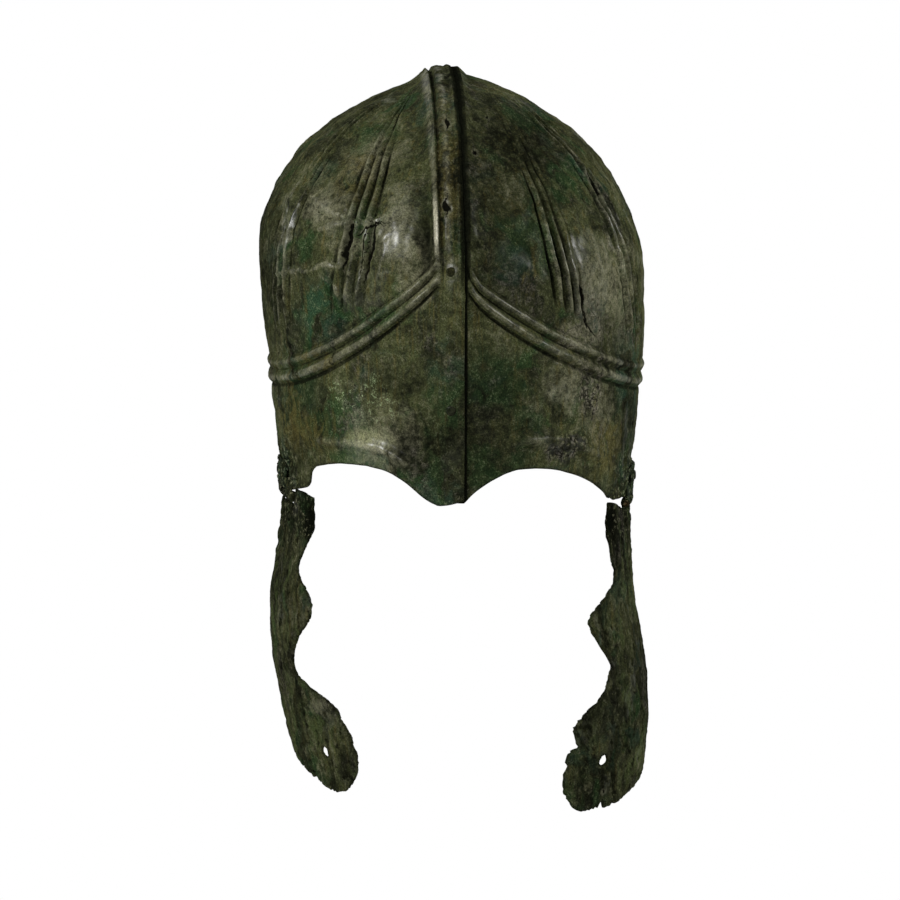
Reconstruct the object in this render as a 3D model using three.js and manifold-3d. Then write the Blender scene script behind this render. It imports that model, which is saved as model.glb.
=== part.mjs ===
// Chalcidian helmet of hammered bronze sheet, in millimetres.
// +Z is up, the face looks along -Y, and the wearer's right side is at -X.
// The origin is the seat on the wearer's head, on the inside of the crown.
import * as THREE from "three";
import Module from "manifold-3d";
import { mergeVertices } from "three/addons/utils/BufferGeometryUtils.js";

const wasm = await Module();
wasm.setup();

// Sheet and fits
const sheet = 1.5;
const clearance = 0.3;
const cutOverrun = 2;

// Skull: the dome is an ellipsoid, and its walls draw in toward the rim
const browLength = 118;
const napeLength = 121;
const browDome = 108;
const napeDome = 104;
const browTaperShare = 0.02;
const napeTaperShare = 0.085;
const guardFlare = 13;
const guardFlareHeight = 34;
const wallHeight = 190;

// Crest keel and the lapped seam along the middle
const keelHigh = 4.5;
const keelLow = 2.3;
const keelBead = 0.6;
const keelGroove = 0.5;
const rivetLine = 6.2;

// Double brow band, flutes and the ridges over the eyes
const browClimb = 1;
const bandPitch = 7.5;
const bandRidge = 1.3;
const bandRidgeHalf = 2;
const fluteGap = 9;
const fluteHeight = 1.3;
const eyebrowHeight = 1.6;
const eyebrowHalf = 4.5;

// Rim below the hinge, at the ear and round the neck
const archDepth = 186.4;
const nasalDepth = 203.6;
const earNotchDepth = 172;
const guardDepth = 204.5;

// Hinges
const hingeLength = 34;
const hingeMiddle = 20;
const barrelRadius = 2.4;
const pinRadius = 1.1;
const pinHeadRadius = 1.9;
const pinHeadHeight = 1.1;
const leafSheet = 1.1;
const leafStandoff = 0.45;
const leafInset = 0.2;
const tongueInset = 0.6;
const tongueLap = 0.8;
const tongueEnd = 0.2;
const knuckleGap = 0.4;
const skullLeafHeight = 14.5;
const cheekLeafHeight = 12;
const rimAboveAxis = 3.2;
const cheekBelowAxis = 3.4;
const knuckleCount = 3;

// Rivets
const rivetRadius = 1.1;
const rivetHeadRadius = 2.3;
const rivetHeadHeight = 0.8;

// Cheekpieces
const cheekTopRise = 7.2;
const tieHoleRadius = 2.2;
const cheekRear = 1;

const roundSides = 8;

// Angles from the face round to the nape, in degrees
const sideAngle = 90;
const backAngle = 180;
const archEndAngle = 54;
const tabAngle = 56.4;
const hingeFrontAngle = 70;
const notchAngles = [91, 104, 111, 129];
const guardAngles = [112, 150];
const browClimbAngle = 9;
const eyebrowFrontAngles = [2, 12];
const eyebrowBackAngles = [54, 44];
const eyebrowBlendAngles = [60, 40];
const turn = Math.PI / backAngle;

// Each half of the skull, with the small differences of work raised by hand
const rightHalf = {
  side: -1,
  reach: 96.6,
  rimDraw: 11,
  taperCurveShare: 1.15,
  dome: 90,
  keelPoint: 30,
  keelWidth: 13,
  keelShares: [0, 0.338, 0.477, 0.615, 0.723, 0.877, 1],
  browDepth: 142.5,
  browRise: 54.5,
  browCurveShare: 2.5,
  eyebrowOffset: 11,
  noseSlope: -1.6,
  tabDepth: 200.4,
  hingeInset: 3.4,
  hingeDepth: 207.6,
  hingeTurnAngle: 7.4,
  fluteTopAngles: [19, 49, 97, 143],
  fluteFootAngles: [31, 65, 102, 140],
  archShares: [
    [0, 1], [3, 0.88], [6.5, 0.7], [10, 0.5], [14, 0.3], [18.5, 0.14], [23, 0.05], [28, 0], [33, 0],
    [38, 0.01], [44, 0.07], [51, 0.16], [54, 0.32],
  ],
};
const leftHalf = {
  side: 1,
  reach: 96,
  rimDraw: 6.7,
  taperCurveShare: 2.2,
  dome: 107,
  keelPoint: 28,
  keelWidth: 7,
  keelShares: [-1.143, 0.1, 0.33, 0.63, 1],
  browDepth: 145,
  browRise: 47,
  browCurveShare: 2.3,
  eyebrowOffset: 14,
  noseSlope: 5.4,
  tabDepth: 207.2,
  hingeInset: 2.8,
  hingeDepth: 211.6,
  hingeTurnAngle: 8,
  fluteTopAngles: [14, 37, 94, 144],
  fluteFootAngles: [31, 65, 102, 140],
  archShares: [
    [0, 0.52], [3, 0.36], [6.5, 0.22], [10, 0.1], [14, 0.03], [18.5, 0.03], [23, 0.06], [28, 0.13],
    [33, 0.24], [38, 0.38], [44, 0.6], [51, 0.94], [54, 1.16],
  ],
};

// Columns of the skull's grid, as angles from the face at the foot of the dome and at the rim.
// A flute group takes one column for each of its ridge steps, and every second one is a ridge.
const ridgeSteps = [-1.55, -1, -0.5, 0, 0.5, 1, 1.55];
const ridgePitchAngle = 3;
const ridgeTopShare = 0.85;
const plainColumns = { before: [0, 8, 16], gaps: [[42, 50], [83], [121]], after: [155, 168, 180] };
const rimAngles = [
  0, 3, 6.5, 10, 14, 18.5, 23, 28, 33, 38, 44, 51, 54, 56.4, 60, 67, 75, 83, 90, 93, 96, 99, 103,
  107, 111, 115, 118, 122.5, 126, 130, 135, 140, 145, 150, 155, 161, 170, 180,
];

// Rows of the dome, as shares of the way from the crown to the foot of the flutes
const domeShares = [0.1, 0.22, 0.37, 0.53, 0.69, 0.84, 0.94, 1];
const fluteShares = [0, 0.3, 0.9, 1, 1, 1, 0.8, 0];

function mix(a, b, share) {
  return a + (b - a) * share;
}

function smooth(from, to, value) {
  const share = Math.min(Math.max((value - from) / (to - from), 0), 1);
  return share * share * (3 - 2 * share);
}

function along(points, value) {
  for (let i = 1; i < points.length; i += 1) {
    if (value <= points[i][0]) {
      const [fromValue, fromShare] = points[i - 1];
      const [toValue, toShare] = points[i];
      return mix(fromShare, toShare, (value - fromValue) / (toValue - fromValue));
    }
  }
  return points[points.length - 1][1];
}

// Dome height of the ellipsoid for an angle from the face
function domeAt(half, angle) {
  const across = Math.sin(angle * turn) ** 2;
  return mix(angle < sideAngle ? browDome : napeDome, half.dome, across);
}

// A level runs from 0 at the crown to 1 at the widest part, and on down the wall
function levelAt(depth, dome) {
  if (depth < dome) {
    return Math.acos(1 - depth / dome) / (Math.PI / 2);
  }
  return 1 + (depth - dome) / (dome * Math.PI / 2);
}

// A point of the plain skull. In the keel band the angle is 0 or 180 and across is the
// distance from the seam. Outside it, across is null. A distance below zero lies under the
// other half. The section is pointed: each side's curve is centred beyond the seam.
function skullPoint(half, angle, level, across) {
  if (across < 0) {
    return skullPoint(rightHalf, angle, level, -across);
  }
  const dome = domeAt(half, angle);
  const climb = Math.min(level, 1) * Math.PI / 2;
  const drop = Math.max(level - 1, 0) * dome * Math.PI / 2;
  const fall = Math.max(drop / (wallHeight - dome), 0);
  const depth = drop > 0 ? dome + drop : 0;
  const flare = guardFlare * smooth(guardDepth - guardFlareHeight, guardDepth, depth);
  const guard = smooth(...guardAngles, angle) * flare;
  const wallReach = half.reach - half.rimDraw * Math.min(fall, 1) ** half.taperCurveShare;
  const reach = wallReach + guard * smooth(backAngle, sideAngle, angle);
  const ahead = Math.cos(angle * turn);
  const inFront = angle < sideAngle;
  const taper = inFront ? browTaperShare * Math.min(fall, 1) : napeTaperShare * smooth(0, 0.8, fall);
  const length = (inFront ? browLength : napeLength) * (1 - taper) + guard;
  const x = across === null
    ? half.keelWidth + (reach - half.keelWidth) * Math.sin(climb) * Math.sin(angle * turn)
    : across;
  const point = half.keelPoint;
  const crease = Math.sqrt(1 - (point / (reach + point)) ** 2);
  const rest = Math.sqrt(Math.max(1 - ((x + point) / (reach + point)) ** 2, 0)) / crease;
  const span = Math.max(Math.hypot(Math.sin(climb) * ahead, Math.cos(climb)), 1e-9);
  const y = -length * rest * Math.sin(climb) * ahead / span;
  const z = sheet - dome * (1 - rest * Math.cos(climb) / span) - drop;
  return new THREE.Vector3(half.side * x, y, z);
}

// Outward normal of the plain skull, from two short steps over its surface
function skullNormal(half, angle, level, across) {
  if (across < 0) {
    return skullNormal(rightHalf, angle, level, -across);
  }
  const step = 0.002;
  const base = skullPoint(half, angle, level, across);
  const down = skullPoint(half, angle, level + step, across).sub(base);
  let beside;
  if (across !== null || level < step) {
    const from = across === null ? half.keelWidth : across;
    const near = skullPoint(half, angle, level, from);
    beside = skullPoint(half, angle, level, from + half.reach * step).sub(near);
  } else if (angle < sideAngle) {
    beside = skullPoint(half, angle + step * sideAngle, level, null).sub(base);
  } else {
    beside = base.clone().sub(skullPoint(half, angle - step * sideAngle, level, null));
  }
  const normal = new THREE.Vector3().crossVectors(beside, down).normalize();
  const away = new THREE.Vector3(base.x, base.y, base.z + half.dome);
  return normal.dot(away) < 0 ? normal.negate() : normal;
}

// Height of the keel above the plain skull, highest over the crown
function keelRaise(level) {
  return mix(keelHigh, keelLow, smooth(0.15, 0.85, level));
}

// Over the forehead, below the brow band, the bead and the groove of the keel band fade out and
// the band slopes down from the seam. These are the shares of its height from the seam outward.
const rivetSlopeShare = 0.84;
const lapSlopeShare = 0.66;
const keelSlopeShares = [1, 0.94, rivetSlopeShare, lapSlopeShare, 0.46, 0.14, 0];

// 1 where the band is plain, and 0 where it has its bead
function plainAt(level, angle) {
  return angle < sideAngle ? smooth(0.8, 0.9, level) : 0;
}

// Relief across the keel band, by its column
function keelRelief(half, column, level, angle) {
  const raise = keelRaise(level);
  const plain = plainAt(level, angle);
  if (half.side < 0) {
    const steps = [raise, raise, raise + keelBead, raise, raise - keelGroove, raise * 0.9, 0];
    return mix(steps[column], raise * keelSlopeShares[column], plain);
  }
  const under = raise - sheet - clearance;
  const lap = raise * lapSlopeShare - sheet - clearance;
  const steps = [under, under, under * 0.8 + keelBead, under * 0.4 + keelBead * 0.7, 0];
  const slopes = [lap, under, under * 0.8, under * 0.4, 0];
  return mix(steps[column], slopes[column], plain);
}

// Depth of the rim below the top of the skull, for an angle from the face
function rimDepth(half, angle) {
  const edgeDepth = half.hingeDepth - rimAboveAxis;
  if (angle <= archEndAngle) {
    return mix(archDepth, nasalDepth, along(half.archShares, angle));
  }
  if (angle < hingeFrontAngle) {
    const archEnd = mix(archDepth, nasalDepth, along(half.archShares, archEndAngle));
    const tab = [[archEndAngle, archEnd], [tabAngle, half.tabDepth], [hingeFrontAngle, edgeDepth]];
    return along(tab, angle);
  }
  const [notchStart, notchFront, notchBack, notchEnd] = notchAngles;
  const notch = smooth(notchStart, notchFront, angle) * smooth(notchEnd, notchBack, angle);
  const outer = mix(edgeDepth, guardDepth, smooth(notchStart, notchEnd, angle));
  return mix(outer, earNotchDepth, notch);
}

// Brow band: level round the back and sides, and climbing to the keel in front
function browDepthAt(half, angle) {
  const front = Math.max(1 - angle / sideAngle, 0);
  const climb = half.side < 0 ? browClimb * smooth(browClimbAngle, 0, angle) : 0;
  return half.browDepth - half.browRise * front ** half.browCurveShare - climb;
}

// Columns of one half: angles near the crown, at the foot of the dome and at the rim, and
// whether the column runs along a ridge
function skullColumns(half) {
  const columns = plainColumns.before.map((angle) => ({ top: angle, foot: angle, ridge: 0 }));
  for (let group = 0; group < half.fluteFootAngles.length; group += 1) {
    for (let i = 0; i < ridgeSteps.length; i += 1) {
      const offset = ridgeSteps[i] * ridgePitchAngle;
      columns.push({
        top: half.fluteTopAngles[group] + offset * ridgeTopShare,
        foot: half.fluteFootAngles[group] + offset,
        ridge: i % 2,
      });
    }
    for (const angle of plainColumns.gaps[group] ?? plainColumns.after) {
      const lean = half.fluteTopAngles[group] - half.fluteFootAngles[group];
      const end = angle === backAngle ? 0 : lean;
      columns.push({ top: angle + end * 0.8, foot: angle, ridge: 0 });
    }
  }
  columns.forEach((column, i) => {
    column.rim = rimAngles[i];
  });
  return columns;
}

// Rows of one column, from the crown to the rim: angle, level and relief
function skullRows(half, column) {
  const rows = [];
  const brow = browDepthAt(half, column.foot);
  const dome = domeAt(half, column.foot);
  const foot = levelAt(brow - fluteGap, dome);
  domeShares.forEach((share, i) => {
    const angle = mix(column.top, column.foot, share ** 0.8);
    rows.push({ angle, level: foot * share, relief: fluteHeight * fluteShares[i] * column.ridge });
  });
  for (const ridge of [0, 1]) {
    for (const step of [-1, 0, 1]) {
      const depth = brow + ridge * bandPitch + step * bandRidgeHalf;
      rows.push({ angle: column.foot, level: levelAt(depth, dome), relief: step === 0 ? bandRidge : 0 });
    }
  }
  const bandEnd = brow + bandPitch + bandRidgeHalf;
  const rim = rimDepth(half, column.rim);
  const eyebrowShare = smooth(...eyebrowBlendAngles, column.rim);
  const eyebrow = mix(mix(rim, bandEnd, 0.4), rim - half.eyebrowOffset, eyebrowShare);
  const strength = smooth(...eyebrowFrontAngles, column.rim) * smooth(...eyebrowBackAngles, column.rim);
  const lower = [
    [mix(bandEnd, eyebrow - eyebrowHalf, 0.5), 0],
    [eyebrow - eyebrowHalf, 0],
    [eyebrow, eyebrowHeight * strength],
    [eyebrow + eyebrowHalf, 0],
    [rim, 0],
  ];
  for (const [depth, relief] of lower) {
    const share = smooth(0, 1, (depth - bandEnd) / (rim - bandEnd)) ** 0.7;
    const angle = mix(column.foot, column.rim, share);
    rows.push({ angle, level: levelAt(depth, domeAt(half, angle)), relief });
  }
  return rows;
}

// A closed sheet from rows of outer and inner points. Each row is a line of points from the
// face to the nape, and the first row is the short line over the crown.
function closedShell(outer, inner, bandColumns, flip) {
  const positions = [];
  const indices = [];
  const place = (point) => {
    positions.push(point.x, point.y, point.z);
    return positions.length / 3 - 1;
  };
  const walls = [outer, inner].map((wall) => wall.map((row) => row.map(place)));
  const face = (a, b, c) => {
    if (a !== b && b !== c && a !== c) {
      indices.push(...(flip ? [a, c, b] : [a, b, c]));
    }
  };
  const quad = (a, b, c, d) => {
    face(a, b, c);
    face(a, c, d);
  };
  walls.forEach((wall, side) => {
    const [top, ...rows] = wall;
    const width = rows[0].length;
    const crown = [];
    for (let i = 0; i < width; i += 1) {
      const back = width - 1 - i;
      crown.push(top[Math.min(i, back, bandColumns)]);
    }
    const all = [crown, ...rows];
    for (let r = 1; r < all.length; r += 1) {
      for (let i = 1; i < width; i += 1) {
        const corners = [all[r - 1][i - 1], all[r][i - 1], all[r][i], all[r - 1][i]];
        quad(...(side === 0 ? corners : corners.reverse()));
      }
    }
  });
  const edge = (wall) => {
    const [top, ...rows] = wall;
    const last = rows[rows.length - 1];
    const up = rows.map((row) => row[row.length - 1]).reverse().slice(1);
    return [...last, ...up, top[0], ...rows.map((row) => row[0]).slice(0, -1)];
  };
  const [outerEdge, innerEdge] = walls.map(edge);
  for (let i = 0; i < outerEdge.length; i += 1) {
    const next = (i + 1) % outerEdge.length;
    quad(outerEdge[next], outerEdge[i], innerEdge[i], innerEdge[next]);
  }
  const geometry = new THREE.BufferGeometry();
  geometry.setAttribute("position", new THREE.Float32BufferAttribute(positions, 3));
  geometry.setIndex(indices);
  return geometry;
}

function toSolid(geometry) {
  const plain = geometry.clone();
  plain.deleteAttribute("normal");
  plain.deleteAttribute("uv");
  const merged = mergeVertices(plain);
  return new wasm.Manifold(new wasm.Mesh({
    numProp: 3,
    vertProperties: new Float32Array(merged.attributes.position.array),
    triVerts: new Uint32Array(merged.index.array),
  }));
}

function toGeometry(solid) {
  const mesh = solid.getMesh();
  const geometry = new THREE.BufferGeometry();
  geometry.setAttribute("position", new THREE.BufferAttribute(new Float32Array(mesh.vertProperties), 3));
  geometry.setIndex(new THREE.BufferAttribute(new Uint32Array(mesh.triVerts), 1));
  return geometry;
}

// Turns a piece made along +Y so that it stands at a point along a direction
function stand(geometry, point, direction) {
  const turned = new THREE.Quaternion().setFromUnitVectors(new THREE.Vector3(0, 1, 0), direction);
  const matrix = new THREE.Matrix4().compose(point, turned, new THREE.Vector3(1, 1, 1));
  return geometry.clone().applyMatrix4(matrix);
}

// A hole bored square to the sheet, right through it
function bore(radius, point, normal, depth) {
  const flat = radius / Math.cos(Math.PI / roundSides);
  const length = depth + 2 * cutOverrun;
  const cylinder = new THREE.CylinderGeometry(flat, flat, length, roundSides);
  cylinder.translate(0, cutOverrun - length / 2, 0);
  return toSolid(stand(cylinder, point, normal));
}

// A rivet with a low domed head. Its shank ends flush with the far face of what it grips.
function rivet(grip) {
  const profile = [
    new THREE.Vector2(0, -grip),
    new THREE.Vector2(rivetRadius, -grip),
    new THREE.Vector2(rivetRadius, clearance),
    new THREE.Vector2(rivetHeadRadius, clearance),
    new THREE.Vector2(rivetHeadRadius * 0.72, clearance + rivetHeadHeight * 0.7),
    new THREE.Vector2(0, clearance + rivetHeadHeight),
  ];
  return new THREE.LatheGeometry(profile, roundSides);
}

function seatRivets(places, grip) {
  return places.map(({ point, normal }) => stand(rivet(grip), point, normal));
}

// Places of the seam's rivets, as shares of the way from the crown to the rim: minus for the
// face, plus for the nape. Two rivets of the real seam are lost, and their holes are open.
const faceRivetShares = [-0.947, -0.825, -0.71, -0.576, -0.096];
const napeRivetShares = [0.074, 0.235, 0.384, 0.532, 0.681, 0.817, 0.953];
const seamRivetShares = [...faceRivetShares, ...napeRivetShares];
const lostRivetShares = [-0.429, -0.256];

function seamPlace(half, signedShare) {
  const angle = signedShare < 0 ? 0 : backAngle;
  const level = Math.abs(signedShare) * levelAt(rimDepth(half, angle), domeAt(half, angle));
  const point = skullPoint(half, angle, level, rivetLine);
  const normal = skullNormal(half, angle, level, rivetLine);
  const raise = keelRaise(level);
  point.addScaledVector(normal, mix(raise + keelBead, raise * rivetSlopeShare, plainAt(level, angle)));
  return { point, normal };
}

function skullHalf(half, holes) {
  const columns = skullColumns(half);
  const bandCount = half.keelShares.length - 1;
  const grid = columns.map((column) => skullRows(half, column));
  const rowCount = grid[0].length;
  const outer = [];
  const inner = [];
  const push = (rowOuter, rowInner, angle, level, across, relief) => {
    const point = skullPoint(half, angle, level, across);
    const normal = skullNormal(half, angle, level, across);
    rowOuter.push(point.clone().addScaledVector(normal, relief));
    rowInner.push(point.clone().addScaledVector(normal, relief - sheet));
  };
  const seamRows = (angle) => skullRows(rightHalf, { top: angle, foot: angle, rim: angle, ridge: 0 });
  const seams = { 0: seamRows(0), [backAngle]: seamRows(backAngle) };
  const band = (rowOuter, rowInner, angle, r, order) => {
    const own = (angle === 0 ? grid[0] : grid[grid.length - 1])[r].level;
    const tip = angle === 0 && r === rowCount - 1;
    for (const i of order) {
      const share = half.keelShares[i];
      const inward = Math.max(share, 0);
      const slope = half.noseSlope * (1 - inward) / (browDome * Math.PI / 2);
      const level = tip ? own + slope : mix(seams[angle][r].level, own, inward);
      push(rowOuter, rowInner, angle, level, half.keelWidth * share, keelRelief(half, i, level, angle));
    }
  };
  const fromSeam = [...Array(bandCount).keys()];
  const crownOuter = [];
  const crownInner = [];
  for (const i of [...fromSeam, bandCount]) {
    push(crownOuter, crownInner, 0, 0, half.keelWidth * half.keelShares[i], keelRelief(half, i, 0, 0));
  }
  outer.push(crownOuter);
  inner.push(crownInner);
  for (let r = 0; r < rowCount; r += 1) {
    const rowOuter = [];
    const rowInner = [];
    band(rowOuter, rowInner, 0, r, fromSeam);
    for (const rows of grid) {
      const { angle, level, relief } = rows[r];
      push(rowOuter, rowInner, angle, level, null, relief);
    }
    band(rowOuter, rowInner, backAngle, r, [...fromSeam].reverse());
    outer.push(rowOuter);
    inner.push(rowInner);
  }
  let solid = toSolid(closedShell(outer, inner, bandCount, half.side < 0));
  for (const { point, normal, depth } of holes) {
    solid = solid.subtract(bore(rivetRadius + clearance, point, normal, depth));
  }
  return toGeometry(solid);
}

const helmet = new THREE.Group();
helmet.name = "chalcidian_helmet";

function addPiece(name, geometry, color, metalness, roughness) {
  geometry.computeVertexNormals();
  const material = new THREE.MeshStandardMaterial({ color, metalness, roughness });
  const mesh = new THREE.Mesh(geometry, material);
  mesh.name = name;
  helmet.add(mesh);
  return mesh;
}

const bronze = 0x6b6442;
const paleBronze = 0x7d7450;
const iron = 0x4a3c30;

const seamShares = [...lostRivetShares, ...seamRivetShares];
const seamDepth = 2 * sheet + clearance + keelBead;
const seamHoles = seamShares.map((share) => ({ ...seamPlace(rightHalf, share), depth: seamDepth }));

// Hinge frame of one side: its middle and the direction of its axis, pointing forward
function hingeFrame(half) {
  const reach = half.reach - half.rimDraw - half.hingeInset;
  const middle = new THREE.Vector3(half.side * reach, -hingeMiddle, -half.hingeDepth + sheet);
  const lean = half.hingeTurnAngle * turn;
  const axis = new THREE.Vector3(-half.side * Math.sin(lean), -Math.cos(lean), 0);
  return { middle, axis };
}

// Angle on the skull's wall at a distance behind the widest plane
function wallAngle(half, ahead) {
  const reach = half.reach - half.rimDraw;
  const point = half.keelPoint;
  const crease = Math.sqrt(1 - (point / (reach + point)) ** 2);
  const x = (reach + point) * Math.sqrt(1 - (ahead * crease / browLength) ** 2) - point;
  return Math.asin((x - half.keelWidth) / (reach - half.keelWidth)) / turn;
}

// A thin plate that follows a surface: closed, between two offsets from it
function plate(surface, acrossFrom, acrossTo, downFrom, downTo, steps, rows, low, high) {
  const top = [];
  const bottom = [];
  for (let r = 0; r <= rows; r += 1) {
    const topRow = [];
    const bottomRow = [];
    for (let i = 0; i <= steps; i += 1) {
      const across = mix(acrossFrom, acrossTo, i / steps);
      const { point, normal } = surface(across, mix(downFrom, downTo, r / rows));
      topRow.push(point.clone().addScaledVector(normal, high));
      bottomRow.push(point.clone().addScaledVector(normal, low));
    }
    top.push(topRow);
    bottom.push(bottomRow);
  }
  return closedPatch(top, bottom);
}

// A closed sheet from two like grids of points
function closedPatch(top, bottom) {
  const positions = [];
  const indices = [];
  const place = (point) => {
    positions.push(point.x, point.y, point.z);
    return positions.length / 3 - 1;
  };
  const walls = [top, bottom].map((wall) => wall.map((row) => row.map(place)));
  const quad = (a, b, c, d) => indices.push(a, b, c, a, c, d);
  walls.forEach((wall, side) => {
    for (let r = 1; r < wall.length; r += 1) {
      for (let i = 1; i < wall[0].length; i += 1) {
        const corners = [wall[r - 1][i - 1], wall[r][i - 1], wall[r][i], wall[r - 1][i]];
        quad(...(side === 0 ? corners : corners.reverse()));
      }
    }
  });
  const edge = (wall) => {
    const last = wall.length - 1;
    const right = wall.map((row) => row[row.length - 1]);
    const left = wall.map((row) => row[0]).reverse();
    return [...wall[0], ...right.slice(1), ...wall[last].slice(0, -1).reverse(), ...left.slice(1, -1)];
  };
  const [topEdge, bottomEdge] = walls.map(edge);
  for (let i = 0; i < topEdge.length; i += 1) {
    const next = (i + 1) % topEdge.length;
    quad(topEdge[i], topEdge[next], bottomEdge[next], bottomEdge[i]);
  }
  const geometry = new THREE.BufferGeometry();
  geometry.setAttribute("position", new THREE.Float32BufferAttribute(positions, 3));
  geometry.setIndex(indices);
  const solid = toSolid(geometry);
  if (solid.volume() > 0) {
    return solid;
  }
  const flipped = [];
  for (let i = 0; i < indices.length; i += 3) {
    flipped.push(indices[i], indices[i + 2], indices[i + 1]);
  }
  geometry.setIndex(flipped);
  return toSolid(geometry);
}

// Barrel segments along a hinge, as start and end distances from its middle
const knuckleLength = (hingeLength - knuckleGap * (knuckleCount - 1)) / knuckleCount;
function knuckleSpan(index) {
  const start = -hingeLength / 2 + index * (knuckleLength + knuckleGap);
  return [start, start + knuckleLength];
}

function barrel(frame, index) {
  const [start, end] = knuckleSpan(index);
  const cylinder = new THREE.CylinderGeometry(barrelRadius, barrelRadius, end - start, 10);
  const point = frame.middle.clone().addScaledVector(frame.axis, (start + end) / 2);
  return toSolid(stand(cylinder, point, frame.axis));
}

function pinBore(frame) {
  const flat = (pinRadius + clearance) / Math.cos(Math.PI / roundSides);
  const cylinder = new THREE.CylinderGeometry(flat, flat, hingeLength + 2 * cutOverrun, roundSides);
  return toSolid(stand(cylinder, frame.middle, frame.axis));
}

function hingePin(frame) {
  const end = hingeLength / 2 + clearance;
  const profile = [
    new THREE.Vector2(0, -end - pinHeadHeight),
    new THREE.Vector2(pinHeadRadius * 0.8, -end - pinHeadHeight),
    new THREE.Vector2(pinHeadRadius, -end),
    new THREE.Vector2(pinRadius, -end),
    new THREE.Vector2(pinRadius, end),
    new THREE.Vector2(pinHeadRadius, end),
    new THREE.Vector2(pinHeadRadius * 0.8, end + pinHeadHeight),
    new THREE.Vector2(0, end + pinHeadHeight),
  ];
  return stand(new THREE.LatheGeometry(profile, roundSides), frame.middle, frame.axis);
}

// Skull wall near a hinge, by distance ahead of the widest plane and depth below the top
function skullWall(half) {
  return (ahead, depth) => {
    const angle = wallAngle(half, ahead);
    const level = levelAt(depth, domeAt(half, angle));
    return { point: skullPoint(half, angle, level, null), normal: skullNormal(half, angle, level, null) };
  };
}

// Cheekpieces, as side views: forward distance and depth below the hinge's axis
const rightCheek = {
  half: rightHalf,
  curlTop: 170,
  curlFoot: 125,
  plateInset: 0.6,
  bow: 6.3,
  bowShares: [
    [0, 0], [0.07, 0.06], [0.17, 0.36], [0.26, 0.76], [0.34, 1], [0.45, 1.08], [0.55, 0.95], [0.65, 0.66],
    [0.75, 0.25], [0.87, -0.3], [1, -0.75],
  ],
  depth: 142.6,
  width: 80.3,
  frontShares: [
    [-0.021, 0.81], [0.028, 0.81], [0.11, 0.79], [0.166, 0.722], [0.207, 0.685], [0.241, 0.697],
    [0.29, 0.82], [0.338, 0.9], [0.393, 0.878], [0.434, 0.79], [0.469, 0.722], [0.517, 0.655],
    [0.559, 0.615], [0.593, 0.62], [0.621, 0.705], [0.648, 0.835], [0.669, 0.925], [0.697, 0.985],
    [0.752, 1.01], [0.793, 1.04], [0.869, 1.045], [0.917, 1.025], [0.965, 0.965],
  ],
  backShares: [[0.023, 0], [0.4, 0], [0.655, 0.012], [0.793, 0.062], [0.84, 0.11]],
  footShares: [[0.11, 0.84], [0.193, 0.89], [0.336, 0.924], [0.436, 0.948], [0.598, 0.969], [0.7, 0.985],
    [0.82, 1], [0.9, 0.99], [0.959, 0.965]],
  hole: [0.785, 0.862],
};
const leftCheek = {
  half: leftHalf,
  curlTop: 135,
  curlFoot: 100,
  plateInset: 0.9,
  bow: 10.5,
  bowShares: [
    [0, 0], [0.12, 0.15], [0.3, 0.31], [0.45, 0.64], [0.55, 0.83], [0.65, 1], [0.75, 1.06], [0.87, 0.92],
    [1, 0.66],
  ],
  depth: 148,
  width: 85,
  frontShares: [
    [-0.02, 0.71], [0.02, 0.71], [0.067, 0.729], [0.157, 0.688], [0.2, 0.665], [0.234, 0.67], [0.26, 0.705],
    [0.287, 0.758], [0.307, 0.818], [0.327, 0.878], [0.351, 0.92], [0.377, 0.925], [0.414, 0.888],
    [0.454, 0.83], [0.508, 0.768], [0.548, 0.776], [0.608, 0.85], [0.655, 0.935], [0.705, 0.99],
    [0.77, 0.966], [0.8, 1], [0.915, 0.994], [0.97, 0.955],
  ],
  backShares: [[0.023, 0], [0.4, 0], [0.7, 0.006], [0.82, 0.05], [0.9, 0.14]],
  footShares: [[0.14, 0.9], [0.24, 0.93], [0.341, 0.953], [0.47, 0.967], [0.594, 0.982], [0.7, 0.995],
    [0.8, 1], [0.9, 0.995], [0.955, 0.97]],
  hole: [0.81, 0.833],
};

// Outer face of a cheekpiece, by forward distance from its rear edge and depth below the axis
function cheekWall(cheek) {
  const { half } = cheek;
  const at = (forward, depth) => {
    const share = depth / cheek.depth;
    const radius = mix(cheek.curlTop, cheek.curlFoot, Math.min(Math.max(share / 0.76, 0), 1));
    const ahead = Math.max(forward, 0);
    const curl = radius - Math.sqrt(radius * radius - ahead * ahead);
    const reach = half.reach - half.rimDraw - cheek.plateInset - curl;
    const out = reach + cheek.bow * along(cheek.bowShares, Math.max(share, 0));
    return new THREE.Vector3(half.side * out, cheekRear - forward, -half.hingeDepth + sheet - depth);
  };
  return (forward, depth) => {
    const step = cheek.width / 400;
    const point = at(forward, depth);
    const ahead = at(forward + step, depth).sub(at(forward - step, depth));
    const down = at(forward, depth + step).sub(at(forward, depth - step));
    const normal = new THREE.Vector3().crossVectors(ahead, down).normalize();
    return { point, normal: normal.x * half.side < 0 ? normal.negate() : normal };
  };
}

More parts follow.
